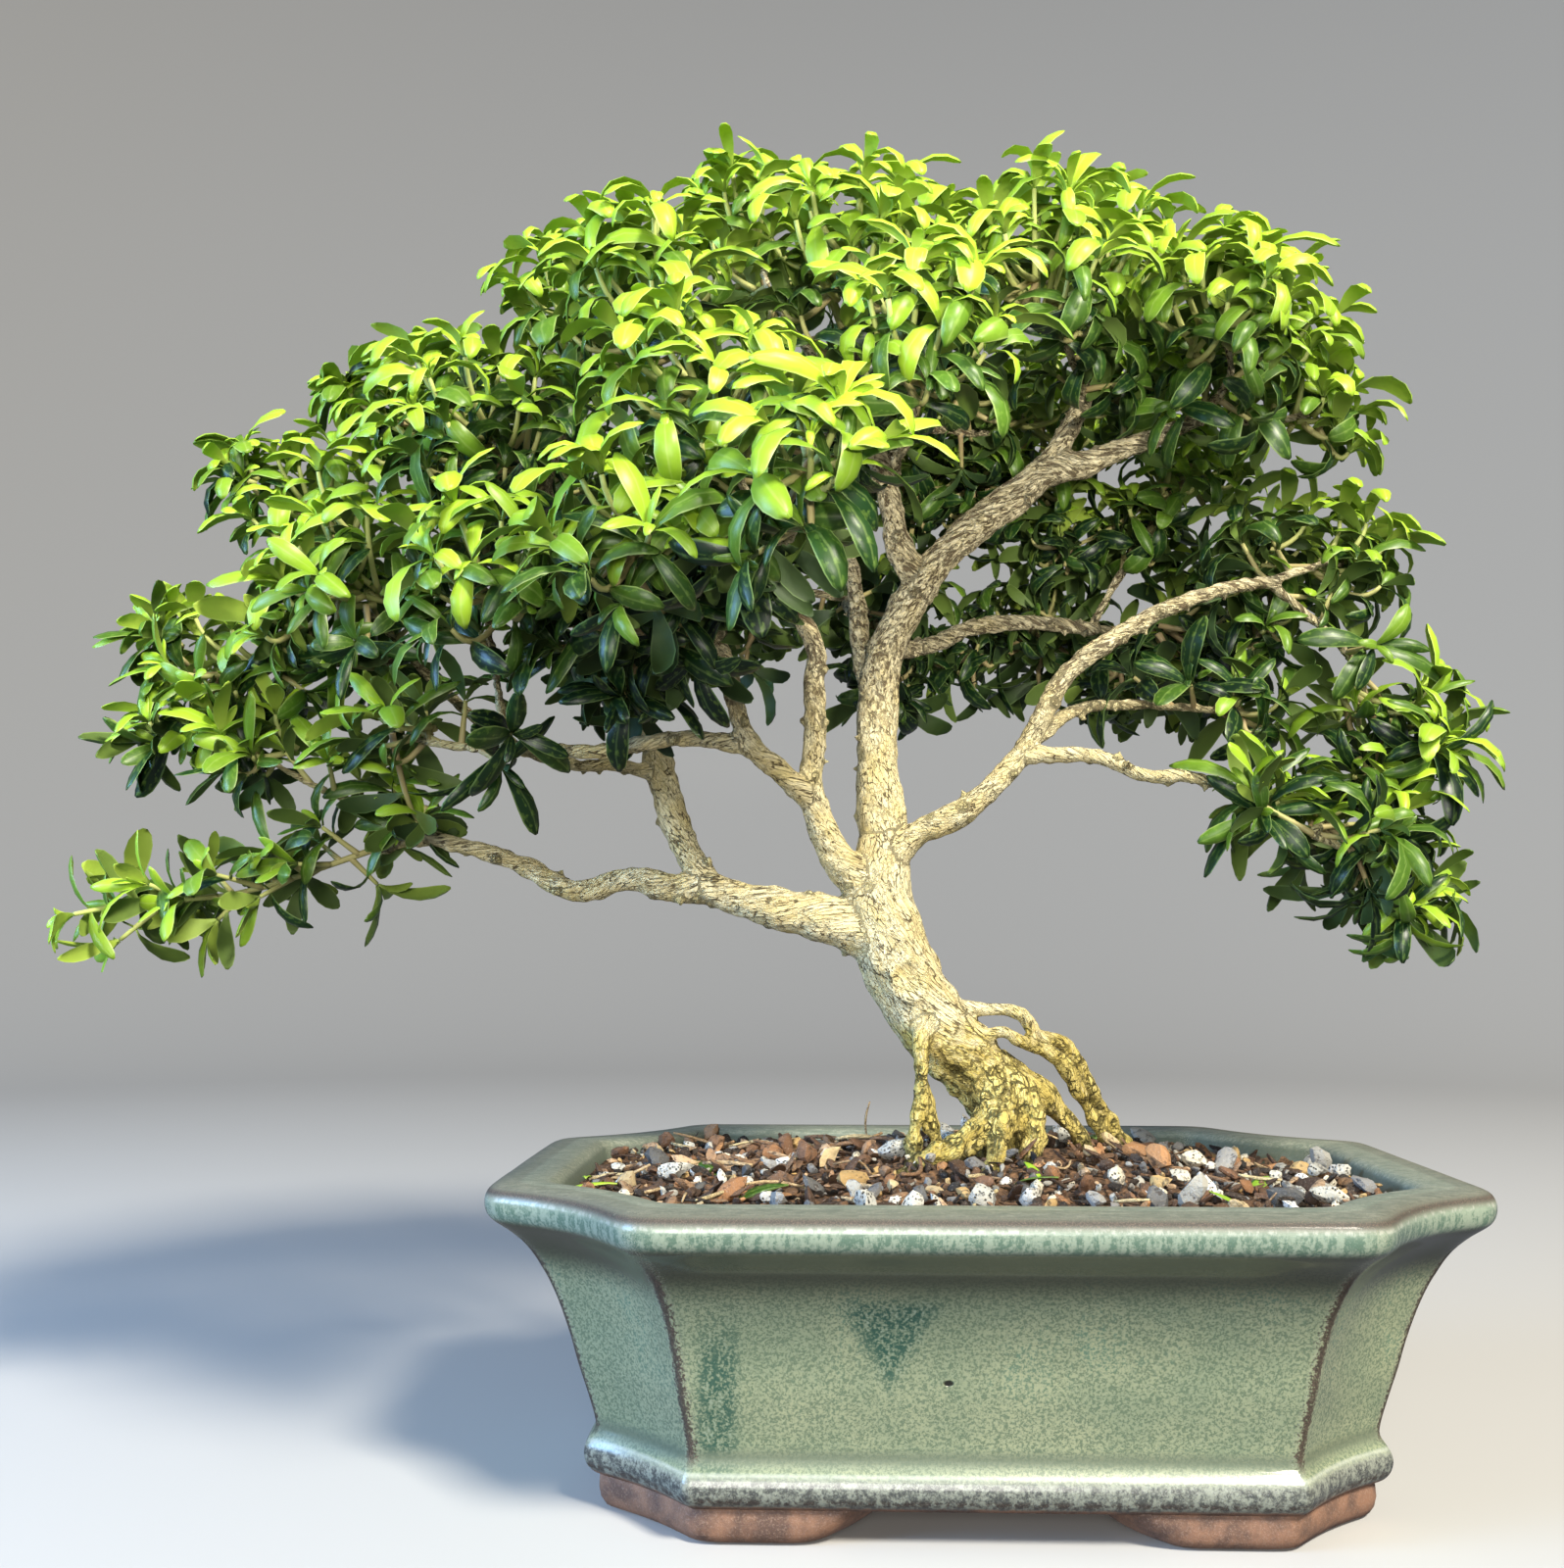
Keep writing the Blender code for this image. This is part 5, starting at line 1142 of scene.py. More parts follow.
def barkFinish():
    # pale bark with dark dots, torn lines and pits, browner on thin and high wood, lichen and moss low down
    f = Finish("pale_bark", Specular_IOR_Level=0.3)
    bark = f.mark("barkSpot")["Vector"]
    radius, height, _ = f.split(f.mark("barkKind")["Vector"])
    spot = f.place()
    warp = f.noise(bark, 3.1, 4.0, 0.62)
    fine = f.noise(bark, 0.62, 4.0, 0.68, 0.5)
    cloud = f.noise(spot, 8.0, 3.0, 0.55)
    patches = f.noise(spot, 3.2, 3.0, 0.6)
    # dark dots and short torn lines, closer together in some places than in others
    flakes = f.cells(f.shifted(bark, 1.4, 1.3), 1.30, "DISTANCE_TO_EDGE")
    rugged = height.rise(150.0, 200.0)
    dense = (patches + rugged * 0.10).rise(0.42, 0.58)
    lines = flakes.rise(0.10, 0.02) * dense * fine.rise(0.40, 0.54) * (1 - rugged * 0.5)
    # crumbly bark on the upper limbs: dark pits between pale crumbs
    crumb = f.noise(f.stretch(bark, (1.0, 1.0, 1.5)), 1.2, 4.0, 0.72, 0.9)
    flaky = (patches * 0.5 + rugged * 0.5 + 0.12).rise(0.34, 0.58)
    pits = crumb.rise(0.505, 0.575) * flaky * height.rise(140.0, 180.0)
    strands = f.cells(f.shifted(bark, 1.0, 1.1), 0.85, "DISTANCE_TO_EDGE")
    hairs = strands.rise(0.09, 0.01) * (1 - patches).rise(0.44, 0.60)
    dots = fine.rise(0.55, 0.65) * (warp.rise(0.42, 0.66) * 0.75 + 0.25)
    # low down a net of dark creases runs between the knobs
    knobs = f.cells(f.shifted(spot, 4.6, 3.0), 3.3, "DISTANCE_TO_EDGE")
    net = knobs.rise(0.13, 0.04) * height.rise(100.0, 86.0) * (warp * 0.5 + patches * 0.5).rise(0.42, 0.54)
    cracks = lines.top(dots * height.rise(74.0, 96.0).top(0.4)).top(net).top(hairs * 0.4).top(pits * 0.95)
    pale = f.mix(warp.rise(0.36, 0.64), (0.72, 0.60, 0.30), (0.92, 0.83, 0.51))
    pale = f.mix(cloud.rise(0.50, 0.66) * 0.55, pale, (0.80, 0.67, 0.28))
    # young wood is browner, and the upper limbs keep flaky brown bark
    young = radius.rise(1.75, 0.95) * 0.8
    upper = height.rise(192.0, 226.0) * (fine * 0.45 + warp * 0.55).rise(0.36, 0.60)
    brown = f.mix(fine.rise(0.35, 0.60), (0.32, 0.21, 0.105), (0.84, 0.70, 0.44))
    tan = f.mix(fine.rise(0.35, 0.62), (0.44, 0.36, 0.15), (0.76, 0.70, 0.36))
    # partly painted light: above 150 mm the wood is painted paler, which lifts it where the crown shades it;
    # the bark there is also pale of itself
    wood = f.mix(rugged * 0.40, f.mix(young, pale, tan), (0.98, 0.84, 0.54))
    wood = f.mix(upper * 0.30, wood, brown)
    # yellow lichen on the foot of the trunk and the roots
    lichen = (height.rise(118.0, 80.0) * 0.9 + patches * 0.9 + cloud * 0.5 - 1.08).rise(0.0, 0.42)
    lichenColour = f.mix(warp.rise(0.36, 0.64), (0.42, 0.32, 0.045), (0.84, 0.68, 0.16))
    wood = f.mix(lichen * 0.78, wood, lichenColour)
    # round spots in it, each a dark ring with a pale middle
    spots = f.cells(f.shifted(spot, 0.7, 2.0), 3.4)
    rings = spots.bell(0.30, 0.12) * lichen * patches.rise(0.38, 0.50)
    wood = f.mix(rings * 0.75, wood, (0.13, 0.11, 0.02))
    moss = (height.rise(84.0, 64.0) * 0.8 + warp * 0.8 + patches * 0.4 - 1.1).rise(0.0, 0.25)
    wood = f.mix(moss * 0.85, wood, (0.060, 0.056, 0.014))
    wood = f.mix(fine.rise(0.44, 0.34) * 0.35, wood, (0.80, 0.73, 0.55))
    wood = f.mix(crumb.rise(0.47, 0.41) * rugged * 0.75, wood, (0.93, 0.83, 0.56))
    crackColour = f.mix(height.rise(100.0, 84.0), (0.070, 0.040, 0.018), (0.060, 0.050, 0.012))
    wood = f.mix(cracks * 0.92, wood, crackColour)
    relief = warp * 0.5 + fine * 0.8 - crumb * rugged * 1.4 - cracks * 0.9 + rings * 0.3
    return f.feed(Base_Color=wood, Roughness=0.74 + fine * 0.18, Normal=f.bump(relief, 0.9))


addPiece("bark", makeWood(), barkFinish(), ["wood"])
print("wood done")


# The leaves.

leafShape = {
    "stations": (0.0, 0.15, 0.35, 0.575, 0.775, 0.925, 1.0),      # share of the length
    "widths": (0.15, 0.42, 0.78, 1.0, 0.94, 0.64, 0.20),          # share of the half width
    "length": 18.2, "halfWidth": 0.160, "thick": 0.24,
    "groove": 0.26, "curl": (46, 122), "hookRise": (165, 215),
    # added curl in degrees, and added shares of size and breadth
    "hooked": (50, 0.0, 0.0), "slender": (42, 0.12, -0.26), "short": (-14, -0.15, 0.16),
    "roll": (38, 98), "stem": 0.58, "stemTaper": (1.35, 0.85),
    "spacing": 5.3, "first": 0.34, "shootsPerArea": 0.056, "seed": 7,
    "angle": 50, "endAngles": (43, 32, 20, 9), "angleSpread": 11,  # of a leaf to its shoot, in degrees
    "overhang": 0.9 * 0.03,                                        # share of the solids' box they may pass
}
crownShape = {"middle": (-25, -10, 195), "reach": (140, 95, 90)}
# smaller heads beside some of them, each on a thin twig of its own
sideHeads = {
    "spray_back_8": [(8, 44, 236, 15), (26, 50, 234, 14)], "spray_back_9": [(-6, 46, 236, 15)],
    "spray_back_7": [(50, 42, 222, 13), (30, 40, 218, 11)],
    "spray_back_2": [(6, 64, 192, 12), (46, 62, 190, 13)],
    "spray_back_1": [(66, 40, 180, 10), (44, 50, 184, 10)], "spray_back_3": [(-16, 54, 184, 12)],
    "spray_right_4": [(90, -6, 154, 8), (103, -12, 158, 4)],
    "spray_right_5": [(64, -18, 145, 7), (92, -14, 141, 8)], "spray_right_6": [(94, -15, 122, 5)],
    "spray_right_3": [(74, 10, 190, 10)], "spray_left_1": [(-168, -12, 224, 8)],
    "spray_top_6": [(-143, -12, 243, 6)],
    "spray_left_3": [(-182, -18, 163, 9), (-166, -20, 165, 9), (-183, -14, 185, 5)],
    "spray_left_5": [(-124, -14, 143, 6)], "spray_left_2": [(-148, -30, 184, 12)],
    "spray_front_11": [(-74, -36, 170, 11)], "spray_front_10": [(-60, -48, 180, 12), (-80, -52, 190, 12)],
    "spray_front_8": [(-50, -60, 190, 12)], "spray_top_2": [(-30, 8, 232, 15)],
    "spray_top_3": [(4, 20, 250, 14)], "spray_top_4": [(44, 10, 250, 14)],
}
# places where light is painted on young shoots as brighter leaves, and how far it reaches
paintedLightSpots = [
    ((106, -14, 158), 8), ((-36, -118, 196), 14), ((-196, -14, 126), 13), ((-165, -14, 216), 12),
    ((-190, -16, 168), 12), ((94, -16, 126), 6),
]
# fallen leaves: x, y and youth
fallenSpots = [
    (-84, -21, 0.95), (-76, -30, 0.9), (-64, 2, 0.35), (-40, -34, 0.4), (10.3, -18, 0.85),
    (16, -30, 0.35), (44, -39, 0.8), (30, 8, 0.2), (62, -20, 0.55), (-20, 30, 0.3),
]


def bladeGrid(leaf):
    # a leaf's centre line leaves its root straight and turns away from its upper face by curl times
    # s^1.25; across it lies an arc of angle roll, with a groove at the midrib, closed underneath by
    # one line of points
    count = len(leaf["root"])
    s = np.array(leafShape["stations"])[None, :, None]
    across = np.array([-1.0, -0.5, 0.0, 0.5, 1.0])[None, None, :]
    curl, roll, size, broad = (leaf[mark][:, None, None] for mark in ("curl", "roll", "size", "broad"))
    steps = 40
    turning = leaf["curl"][:, None] * np.linspace(0, 1, steps + 1)[None, :] ** 1.25
    ways = np.stack([np.cos(turning), np.sin(turning)], -1)
    sums = np.cumsum((ways[:, 1:] + ways[:, :-1]) / 2, axis=1)
    sums = np.concatenate([np.zeros((count, 1, 2)), sums], 1) / steps
    at = np.round(np.array(leafShape["stations"]) * steps).astype(int)
    ahead = sums[:, at, 0][..., None] * size
    drop = sums[:, at, 1][..., None] * size
    half = np.array(leafShape["widths"])[None, :, None] * leafShape["halfWidth"] * size * broad
    bent = roll * (0.55 + 0.45 * s)
    x = half * np.sin(bent * across) / bent
    z = -half * (1 - np.cos(bent * across)) / bent - leafShape["groove"] * (across == 0) * (1 - 0.5 * s)
    z = z + leaf["cup"][:, None, None] * half * np.abs(across) ** 2
    thick = leafShape["thick"] * (1.0 - 0.45 * s)
    x = np.concatenate([x, 0 * x[..., :1]], -1)
    z = np.concatenate([z, z[..., 2:3] - thick], -1)
    twist = leaf["twist"][:, None, None] * s
    x, z = x * np.cos(twist) - z * np.sin(twist), x * np.sin(twist) + z * np.cos(twist)
    side = np.cross(leaf["heading"], leaf["upper"])[:, None, None]
    heading, upper = leaf["heading"][:, None, None], leaf["upper"][:, None, None]
    turn = (curl * s ** 1.25)[..., None]
    up = upper * np.cos(turn) + heading * np.sin(turn)
    centre = leaf["root"][:, None, None] + heading * ahead[..., None] - upper * drop[..., None]
    sway = (leaf["sway"][:, None, None] * s ** 2 * size)[..., None]
    points = centre + side * (x[..., None] + sway) + up * z[..., None]
    rows, cols = len(leafShape["stations"]), 6
    quads = repeatFaces(gridFaces(rows, cols), count, rows * cols)
    caps = repeatFaces(endCaps(rows, cols), count, rows * cols)
    spotS = np.broadcast_to(s, (count, rows, cols))
    spotT = np.broadcast_to(np.array([-1, -0.5, 0, 0.5, 1, 0.0]), (count, rows, cols))
    spotSide = np.broadcast_to(np.array([0.5, 1, 1, 1, 0.5, 0.0]), (count, rows, cols))
    leafSpot = np.stack([spotS, spotT, spotSide], -1).reshape(-1, 3)
    leafAge = np.stack([leaf["youthAndLight"], leaf["tone"], 0 * leaf["tone"]], -1)
    return points.reshape(-1, 3), quads, caps, leafSpot, np.repeat(leafAge, rows * cols, axis=0)


def stemTubes(lines, radii, young):
    # thin tubes along the shoots; a 2 as the third value of leafSpot tells the finish that they are stems
    shape = (*lines.shape[:2], tubeSides, 3)
    leafSpot, leafAge = np.zeros(shape), np.zeros(shape)
    leafSpot[..., 0] = np.linspace(0, 1, shape[1])[None, :, None]
    leafSpot[..., 2] = 2.0
    # young is each shoot's painted light, which sets its stem's colour
    leafAge[..., 0] = young[:, None, None]
    leafAge[..., 1] = 0.5
    return *thinTubes(lines, radii, [0.32, 0.11, 0.94]), leafSpot.reshape(-1, 3), leafAge.reshape(-1, 3)


def evenAims(count, rng):
    # a spiral of even steps over the ball
    k = np.arange(count) + 0.5
    z = 1 - 2 * k / count
    goldenTurn = 2.399963
    turn = k * goldenTurn + rng.uniform(0, 2 * np.pi)
    flat = np.sqrt(1 - z * z)
    aims = np.column_stack([flat * np.cos(turn), flat * np.sin(turn), z])
    return unit(aims + rng.normal(size=(count, 3)) * 0.16)


def shootLines(middle, radius, inward, rng):
    # each shoot is a quadratic curve from the head's own stem out to its aim, lifted at its end
    outward = unit((middle - np.array(crownShape["middle"])) / np.array(crownShape["reach"]))
    aims = evenAims(max(6, round(leafShape["shootsPerArea"] * radius ** 2)), rng)
    aims = aims[(aims @ inward < 0.72) & (aims @ -outward < 0.86)]
    count = len(aims)
    reach = radius * rng.uniform(0.80, 1.16, (count, 1)) * (1 - 0.10 * (aims @ outward)[:, None]) - 3.8
    tip = middle + aims * reach + upwards * radius * 0.08
    # a shoot leaves its branch well behind its tip, so that most shoots run outwards and a little up
    behind = (inward * 0.5 - outward * 0.5) * radius * rng.uniform(0.0, 0.9, (count, 1))
    root = middle + behind + aims * reach * 0.15
    # its end turns up to the light, most of all in the crown
    lift = rng.uniform(0.3, 1.0, (count, 1)) + 0.55 * np.clip((tip[:, 2:] - 185) / 35, 0, 1)
    ending = unit(aims * 0.5 + upwards * lift + outward * 0.25)
    bend = tip - ending * np.linalg.norm(tip - root, axis=1, keepdims=True) * 0.5
    t = np.linspace(0, 1, 9)[None, :, None]
    lines = root[:, None] * (1 - t) ** 2 + bend[:, None] * 2 * t * (1 - t) + tip[:, None] * t ** 2
    return lines, tip, aims


def paintedLightOf(tip, aims):
    # painted light of a shoot: how far out it stands on the crown's ball, and how much it looks up, make its
    # leaves painted younger and brighter
    stand = np.linalg.norm((tip - np.array(crownShape["middle"])) / np.array(crownShape["reach"]), axis=1)
    x, y, z = tip.T
    height = 0.76 + 0.44 * aims[:, 2] + 0.30 * (z - 185) / 90
    # painted light: the pads at the left are painted lighter all through, the lowest one at the right painted
    # darker, as shade
    left, right, under = (np.clip(v, 0, 1) for v in ((-110 - x) / 35, (x - 60) / 25, (172 - z) / 16))
    side = 0.07 * left - 0.06 * right * under
    paintedLight = np.clip((stand - 0.49) / 0.42, 0, 1) * np.clip(height + side, 0.08, 1)
    # painted shade: shoots at the back that look forwards under the crown are painted darker, as the crown's
    # shade
    paintedShade = np.clip((y - 5) / 30, 0, 1) * np.clip((228 - z) / 20, 0, 1)
    paintedShade = paintedShade * np.clip((0.6 - aims[:, 1]) / 0.6, 0, 1)
    paintedLight = paintedLight * (1 - 0.72 * paintedShade)
    for spot, room in paintedLightSpots:
        near = np.exp(-(np.linalg.norm(tip - np.array(spot), axis=1) / room) ** 2)
        paintedLight = np.maximum(paintedLight, 0.90 * near)
    return paintedLight


def sprayShoots(name, rng):
    # shoots of the head, of the small heads beside it, and a few along its twig
    middle = np.array(headPlaces[name][:3], float)
    twig = smoothLine(twigRoutes[name], 5)[:, :3]
    heads = [(middle, headPlaces[name][3], unit(twig[0] - middle))]
    for x, y, z, radius in sideHeads.get(name, ()):
        place = np.array([x, y, z], float)
        heads.append((place, radius, unit(middle - place)))
    # each shoot carries its painted light; shoots along the twig take 0.6 of it at their tips, and a side
    # head's own twig 0.2
    shoots = []
    for place, radius, inward in heads:
        lines, tip, aims = shootLines(place, radius, inward, rng)
        shoots += list(zip(lines, paintedLightOf(tip, aims)))
    along = np.linalg.norm(twig - middle, axis=1)
    edge = headPlaces[name][3] * 0.8
    for spot in twig[(along > edge) & (along < edge + 26)][::2]:
        aim = unit(unit(middle - spot) * 0.5 + unit(rng.normal(size=3)) + upwards * 0.2)
        line = spot + aim * rng.uniform(7, 12) * np.linspace(0, 1, 9)[:, None]
        shoots.append((line, float(paintedLightOf(line[-1:], aim[None])[0]) * 0.6))
    for place, radius, inward in heads[1:]:
        # a side head hangs on a thin twig from its spray's middle
        t = np.linspace(0, 1, 9)[:, None]
        shoots.append((middle + (place - middle) * t - upwards * 3 * np.sin(t * np.pi), 0.2))
    return shoots


def growShoot(line, paintedLight, rng):
    # crossed pairs of leaves, a quarter turn from one pair to the next, closing up at the tip
    along = lengthTo(line)
    first = leafShape["first"]
    nodes = max(2, int(along[-1] * (1 - first) / leafShape["spacing"]))
    places = np.linspace(first, 1.0, nodes + 1)[1:] ** 0.9 * along[-1]
    spin = rng.uniform(0, np.pi)
    grown = []
    for k, place in enumerate(places):
        share = (k + 1) / nodes
        at = pointAt(place, along, line)
        step = min(int(np.searchsorted(along, place, side="right")) - 1, len(line) - 2)
        ahead = unit(line[step + 1] - line[step])
        side = unit(np.cross(ahead, [0.31, 0.17, 0.93]))
        pairSpin = spin + k * np.pi / 2 + rng.normal() * 0.25
        out = side * np.cos(pairSpin) + np.cross(ahead, side) * np.sin(pairSpin)
        pairs = [(1.0, 0)] if share < 1 else [(1.0, 0), (0.80, 1), (0.48, 2)]
        for size, inner in pairs:
            if inner:
                out = np.cross(ahead, out)
            angle = leafShape["endAngles"][(share > 0.99) + inner] if share > 0.7 else leafShape["angle"]
            opening = np.radians(rng.normal(angle, leafShape["angleSpread"]))
            for sign in (-1, 1):
                if share < 0.5 and rng.random() < 0.15:
                    continue
                heading = np.cos(opening) * ahead + np.sin(opening) * out * sign
                heading = unit(heading + rng.normal(size=3) * 0.20)
                upper = np.sin(opening) * ahead - np.cos(opening) * out * sign
                upper = upper + upwards * 0.30 + rng.normal(size=3) * 0.20
                upper = unit(upper - heading * np.dot(upper, heading))
                # young is the leaf's youth towards the shoot's tip times the shoot's painted light, so it
                # carries both
                young = paintedLight * (0.36 + 0.64 * share ** 1.5) + 0.16 * inner * paintedLight + rng.normal() * 0.09
                length = size * rng.uniform(0.78, 1.12) * (0.86 + 0.14 * share)
                grown.append((at + heading * 0.4, heading, upper, length, young))
    return grown


def dressHead(name, shoots, low, high, rng):
    # one mesh of all leaves and stems of a spray; a leaf that would leave the box low..high is left off
    grown = [leaf for line, paintedLight in shoots for leaf in growShoot(line, paintedLight, rng)]
    count = len(grown)
    root, heading, upper, size, youthAndLight = (np.array(column) for column in zip(*grown))
    leaf = {
        "root": root, "heading": heading, "upper": upper, "size": size * leafShape["length"],
        "youthAndLight": np.clip(youthAndLight, 0, 1.15), "curl": np.radians(rng.uniform(*leafShape["curl"], count)),
        "roll": np.radians(rng.uniform(*leafShape["roll"], count)), "broad": rng.uniform(0.80, 1.16, count),
        "twist": rng.normal(size=count) * 0.28, "sway": rng.normal(size=count) * 0.07,
        "cup": rng.uniform(-0.1, 0.22, count), "tone": rng.random(count),
    }
    # leaves high in the crown hook over; those at the lower right are long and slender
    x, y, z = leaf["root"].T
    start, end = leafShape["hookRise"]
    hooked = np.clip((z - start) / (end - start), 0, 1)
    slender = np.clip((x - 60) / 25, 0, 1) * np.clip((172 - z) / 16, 0, 1)
    # those of the pads at the left are short and round
    short = np.clip((-108 - x) / 30, 0, 1)
    for share, habit in ((hooked, "hooked"), (slender, "slender"), (short, "short")):
        curl, size, broad = leafShape[habit]
        leaf["curl"] += np.radians(curl) * share
        leaf["size"] *= 1 + size * share
        leaf["broad"] *= 1 + broad * share
    whole = bladeGrid(leaf)[0].reshape(count, -1, 3)
    keep = np.all((whole.min(1) > low) & (whole.max(1) < high), axis=1)
    leaf = {mark: values[keep] for mark, values in leaf.items()}
    lines, lights = (np.array(column) for column in zip(*shoots))
    taper = np.linspace(*leafShape["stemTaper"], lines.shape[1]) * leafShape["stem"]
    parts = [bladeGrid(leaf), stemTubes(lines, np.tile(taper, (len(lines), 1)), lights)]
    points, quads, caps = joinParts(parts)
    leafSpot, leafAge = (np.vstack([part[k] for part in parts]) for k in (3, 4))
    mesh = meshFrom(name, points, [quads, caps], {"leafSpot": leafSpot, "leafAge": leafAge})
    # a blade's edge stays sharp
    ends = np.zeros(len(mesh.edges) * 2, np.int32)
    mesh.edges.foreach_get("vertices", ends)
    atEdge = leafSpot[ends, 2] == 0.5
    markSharp(mesh, atEdge[0::2] & atEdge[1::2])
    return mesh, len(leaf["root"])


def leafFinish():
    # dark green, near black, when old and in painted shade, yellow green when young and in painted light, by
    # a ramp; pale midrib and margin, duller backs
    f = Finish("boxwood_leaf", Specular_IOR_Level=0.40)
    s, t, side = f.split(f.mark("leafSpot")["Vector"])
    youthAndLight, tone, _ = f.split(f.mark("leafAge")["Vector"])
    spot = f.place()
    mottle = f.noise(spot, 2.2, 2.0, 0.6)
    across = t.size()
    top = side.rise(0.49, 0.51)
    stem = side.rise(1.4, 1.6)
    # ageAndLight holds each leaf's youth together with its painted light and shade
    ageAndLight = (youthAndLight + (tone - 0.5) * 0.20 + (mottle - 0.5) * 0.10).least(1.0).top(0.0)
    upperColour = f.ramp(ageAndLight, [(0.0, (0.003, 0.013, 0.006)), (1.0, (0.38, 0.59, 0.032)),
                               (0.25, (0.010, 0.040, 0.008)), (0.50, (0.088, 0.186, 0.015)),
                               (0.75, (0.275, 0.455, 0.026))])
    lowerColour = f.ramp(ageAndLight, [(0.0, (0.020, 0.046, 0.014)), (1.0, (0.36, 0.50, 0.06)),
                               (0.5, (0.120, 0.192, 0.034))])
    veins = f.noise(f.stretch(f.mark("leafSpot")["Vector"], (9.0, 2.2, 1.0)), 1.0, 2.0, 0.6)
    upperColour = f.mix(veins.rise(0.52, 0.66) * 0.25, upperColour, (0.23, 0.38, 0.06))
    midrib = across.rise(0.12, 0.03) * 0.26
    margin = across.rise(0.84, 0.97) * 0.70
    pale = f.mix(ageAndLight, (0.14, 0.24, 0.075), (0.50, 0.64, 0.17))
    colour = f.mix(midrib.top(margin), upperColour, pale)
    colour = f.mix(1 - top, colour, f.mix(margin * 0.6, lowerColour, pale))
    base = s.rise(0.14, 0.0) * 0.6
    colour = f.mix(base, colour, pale)
    stemColour = f.mix(ageAndLight * 0.9 + s * 0.5 - 0.2, (0.40, 0.30, 0.15), (0.50, 0.56, 0.17))
    colour = f.mix(stem, colour, stemColour)
    rough = 0.35 + (1 - top) * 0.22 + stem * 0.2 + mottle * 0.06 + youthAndLight * 0.04
    return f.feed(Base_Color=colour, Roughness=rough, Normal=f.bump(veins * 0.6 + across * 0.4, 0.05))


def lowTwigShoots(rng):
    # the open twig at the lower left: one long shoot with a few short ones off it
    line = smoothLine(lowTwig, 4)[:, :3]
    even = np.linspace(0, 1, 9)
    main = pointAt(even * 0.94, np.linspace(0, 1, len(line)), line)
    # each shoot carries its painted light: 0.6 on the long one, rising towards the twig's end on the short
    # ones
    shoots = [(main, 0.6)]
    for k, share in enumerate(np.linspace(0.0, 0.97, 18)):
        root = pointAt(share, even, main)
        turn = k * 2.4 + rng.uniform(-0.4, 0.4)
        aim = unit(np.array([0.5 if k in (0, 2) else -0.65, np.cos(turn) * 0.8, np.sin(turn) * 0.62]))
        shoots.append((root + aim * rng.uniform(8, 13) * even[:, None], 0.50 + 0.56 * share ** 2))
    return shoots


leafGreen = leafFinish()
cadLow, cadHigh = (np.array(corner) for corner in cadBox)
spare = leafShape["overhang"] * (cadHigh - cadLow)
low = (cadLow - spare - potMiddle) * 1000
high = (cadHigh + spare - potMiddle) * 1000
total = 0
for number, name in enumerate(headPlaces):
    rng = np.random.default_rng(leafShape["seed"] + number)
    mesh, count = dressHead(name + "_leaves", sprayShoots(name, rng), low, high, rng)
    addPiece(name + "_leaves", mesh, leafGreen, [name])
    total += count
rng = np.random.default_rng(leafShape["seed"] + 99)
mesh, count = dressHead("spray_low_left_leaves", lowTwigShoots(rng), low, high, rng)
addPiece("spray_low_left_leaves", mesh, leafGreen, ["spray_low_left"])


def fallenLeaves():
    # leaves that dropped on the grit: faces up, nearly flat, some yellow
    rng = np.random.default_rng(leafShape["seed"] + 200)
    x, y, youthAndLight = np.array(fallenSpots, float).T
    count = len(x)
    turn = rng.uniform(0, 2 * np.pi, count)
    heading = unit(np.column_stack([np.cos(turn), np.sin(turn), rng.uniform(0.0, 0.22, count)]))
    upper = upwards + rng.normal(size=(count, 3)) * 0.22
    upper = unit(upper - heading * (upper * heading).sum(1, keepdims=True))
    leaf = {
        "root": np.column_stack([x, y, soilHeight(x, y) + rng.uniform(1.6, 2.4, count)]),
        "heading": heading, "upper": upper, "size": rng.uniform(8.0, 11.5, count), "youthAndLight": youthAndLight,
        "curl": np.radians(rng.uniform(15, 55, count)), "roll": np.radians(rng.uniform(15, 60, count)),
        "broad": rng.uniform(0.9, 1.2, count), "twist": rng.normal(size=count) * 0.2,
        "sway": rng.normal(size=count) * 0.07, "cup": np.zeros(count), "tone": rng.random(count),
    }
    points, quads, caps, leafSpot, leafAge = bladeGrid(leaf)
    return meshFrom("fallen_leaves", points, [quads, caps], {"leafSpot": leafSpot, "leafAge": leafAge})


addPiece("fallen_leaves", fallenLeaves(), leafGreen)
print("leaves done:", total + count)


# The studio.

studioShape = {
    "flat": 1.1, "wall": 2.2, "high": 2.4, "steps": 96, "pale": (0.52, 0.52, 0.51),
    "sky": (0.86, 0.90, 1.0), "skyPower": 0.21,
}
cameraShape = {"at": (-0.0301, -0.3638, 0.1158), "tilt": 95.8, "turn": 1.95, "lens": 36}


def paleBowl():
    # a flat floor that turns up into a round wall: one profile spun about z
    rise = np.linspace(0, np.pi / 2, 24)[1:]
    flat, steps = studioShape["flat"], studioShape["steps"]
    bend = studioShape["wall"] - flat
    radii = np.concatenate([np.linspace(0.02, flat, 12), flat + bend * np.sin(rise), [studioShape["wall"]]])
    heights = np.concatenate([np.zeros(12), bend * (1 - np.cos(rise)), [studioShape["high"]]])
    turn = fullTurn(steps)
    x, y = (radii[:, None] * way for way in (np.cos(turn), np.sin(turn)))
    points = np.stack([x, y, np.broadcast_to(heights[:, None], x.shape)], -1).reshape(-1, 3)
    middle = np.arange(steps)[None, :]
    return meshFrom("floor", points, [gridFaces(len(radii), steps), middle], inWorld=True)


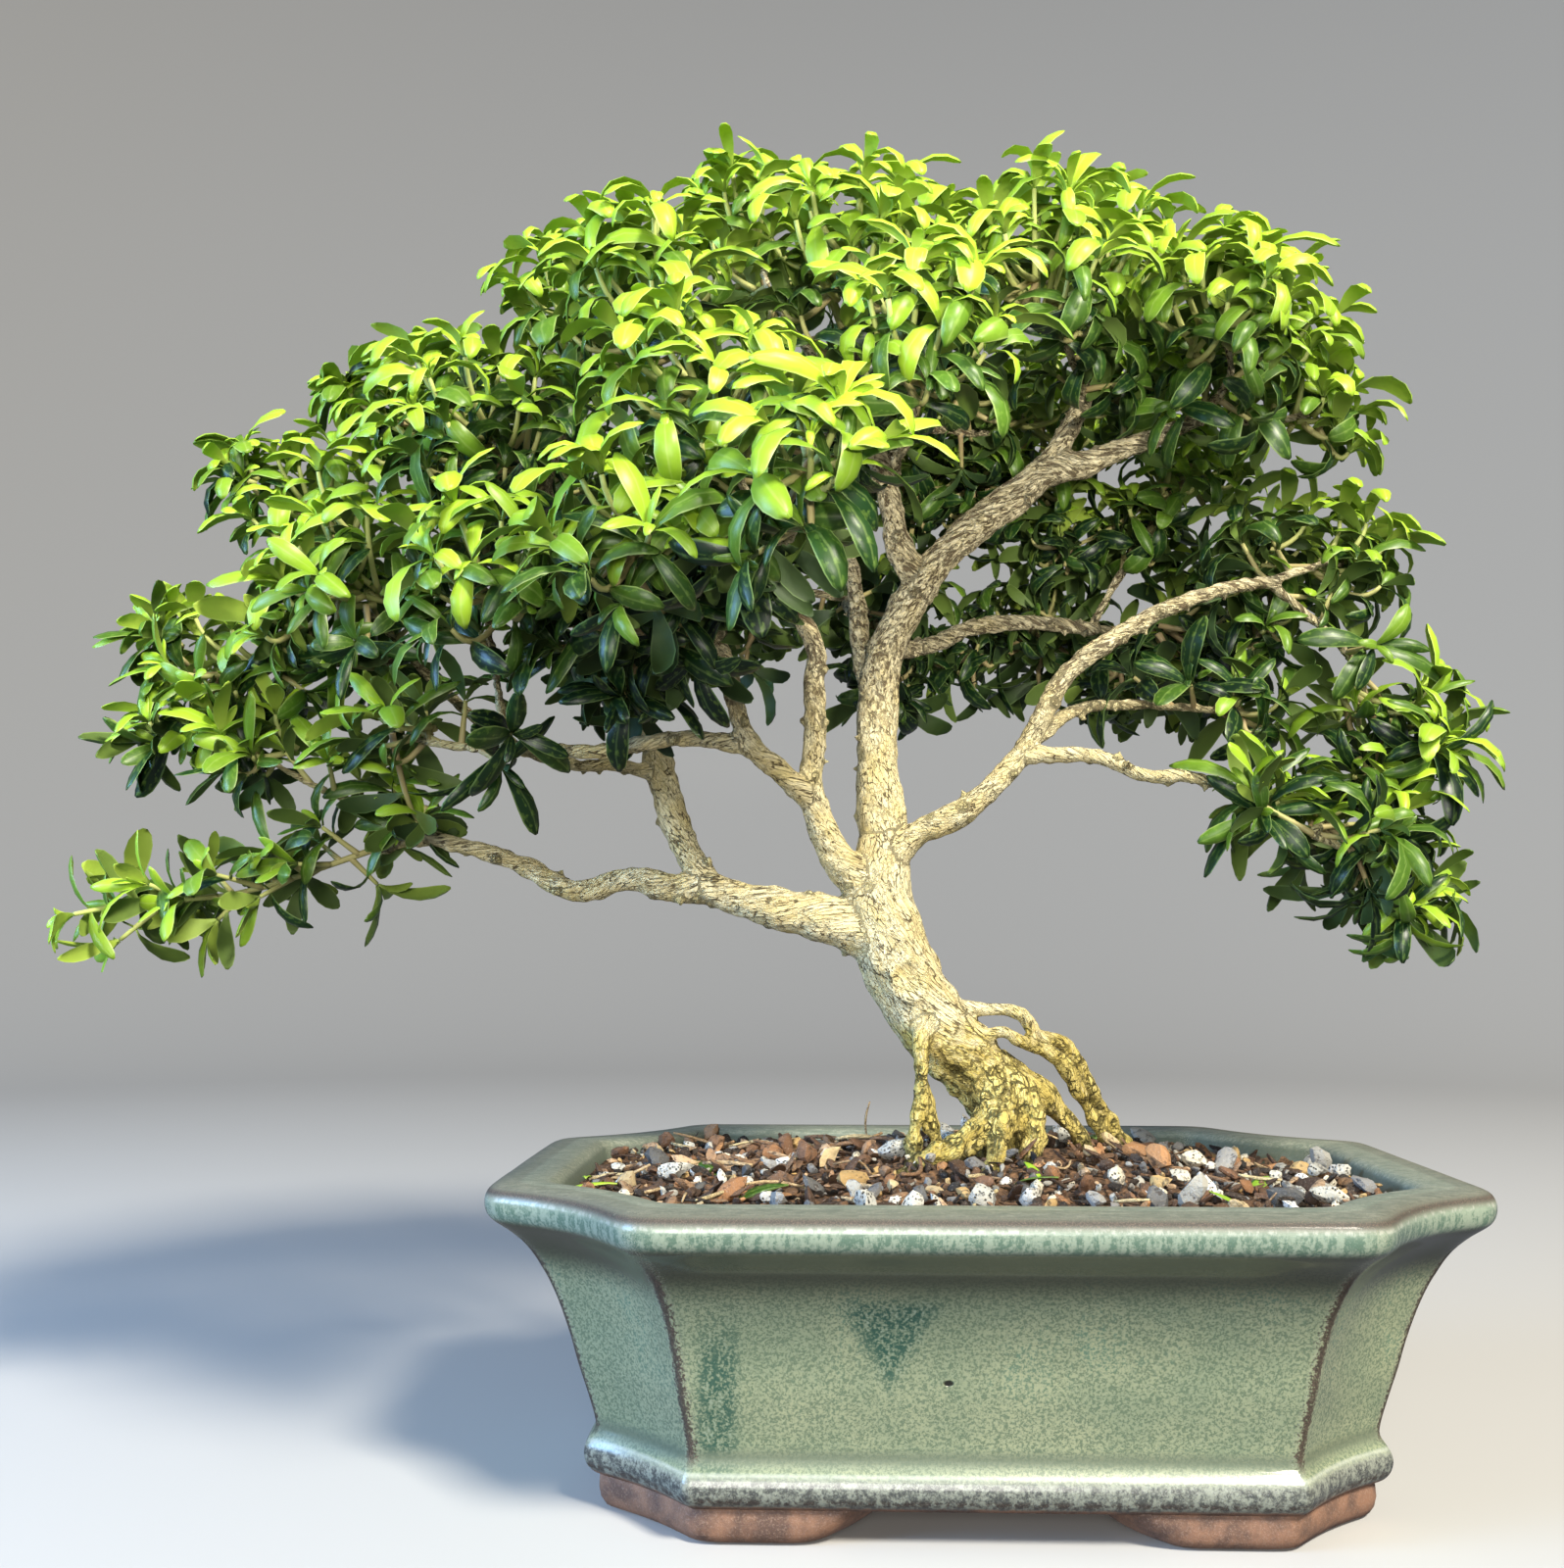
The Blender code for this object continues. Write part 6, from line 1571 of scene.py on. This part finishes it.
def addLight(name, at, aim, size, power, colour, cone=None):
    # a soft panel, or with a cone in degrees a spotlight that fades out to its edge
    lamp = bpy.data.lights.new(name, "SPOT" if cone else "AREA")
    if cone:
        lamp.spot_size = math.radians(cone)
        lamp.spot_blend = 1.0
        lamp.shadow_soft_size = size / 2
    else:
        lamp.size = size
    lamp.energy = power
    lamp.color = colour
    holder = newObject(name, lamp)
    holder.location = at
    holder.rotation_euler = (Vector(aim) - Vector(at)).to_track_quat("-Z", "Y").to_euler()
    holder.visible_camera = False


floor = newObject("floor", paleBowl())
plain = Finish("studio_floor", Base_Color=(*studioShape["pale"], 1.0), Roughness=0.85)
floor.data.materials.append(plain.material)
# the floor is seen and takes shadows, but throws no light back into the crown
floor.visible_diffuse = False
floor.visible_glossy = False

world = bpy.data.worlds.new("studio")
world.use_nodes = True
background = world.node_tree.nodes["Background"].inputs
background["Color"].default_value = (*studioShape["sky"], 1.0)
background["Strength"].default_value = studioShape["skyPower"]
bpy.context.scene.world = world
addLight("key", (0.76, -1.15, 1.38), (0.0, 0.0, 0.14), 0.36, 65, (1.0, 0.93, 0.80))
addLight("front", (-0.10, -1.5, 0.30), (0.0, 0.0, 0.12), 0.70, 19, (1.0, 0.97, 0.90))
addLight("fork", (0.14, -0.98, 0.06), (0.036, 0.0, 0.222), 0.06, 44, (1.0, 0.94, 0.82), cone=9)
addLight("fill", (-1.3, -0.55, 0.55), (0.0, 0.0, 0.12), 0.9, 13, (0.42, 0.66, 1.0))
addLight("sky_side", (-0.75, -0.28, 0.30), (0.0, 0.0, 0.05), 0.32, 5.4, (0.24, 0.52, 1.0))

lens = bpy.data.cameras.new("camera")
lens.lens = cameraShape["lens"]
lens.sensor_width = 36
lens.clip_start = 0.01
camera = newObject("camera", lens)
camera.location = tuple(potMiddle + np.array(cameraShape["at"]))
camera.rotation_euler = (math.radians(cameraShape["tilt"]), 0, math.radians(cameraShape["turn"]))
bpy.context.scene.camera = camera
bpy.context.scene.view_settings.view_transform = "Standard"
print("studio done")
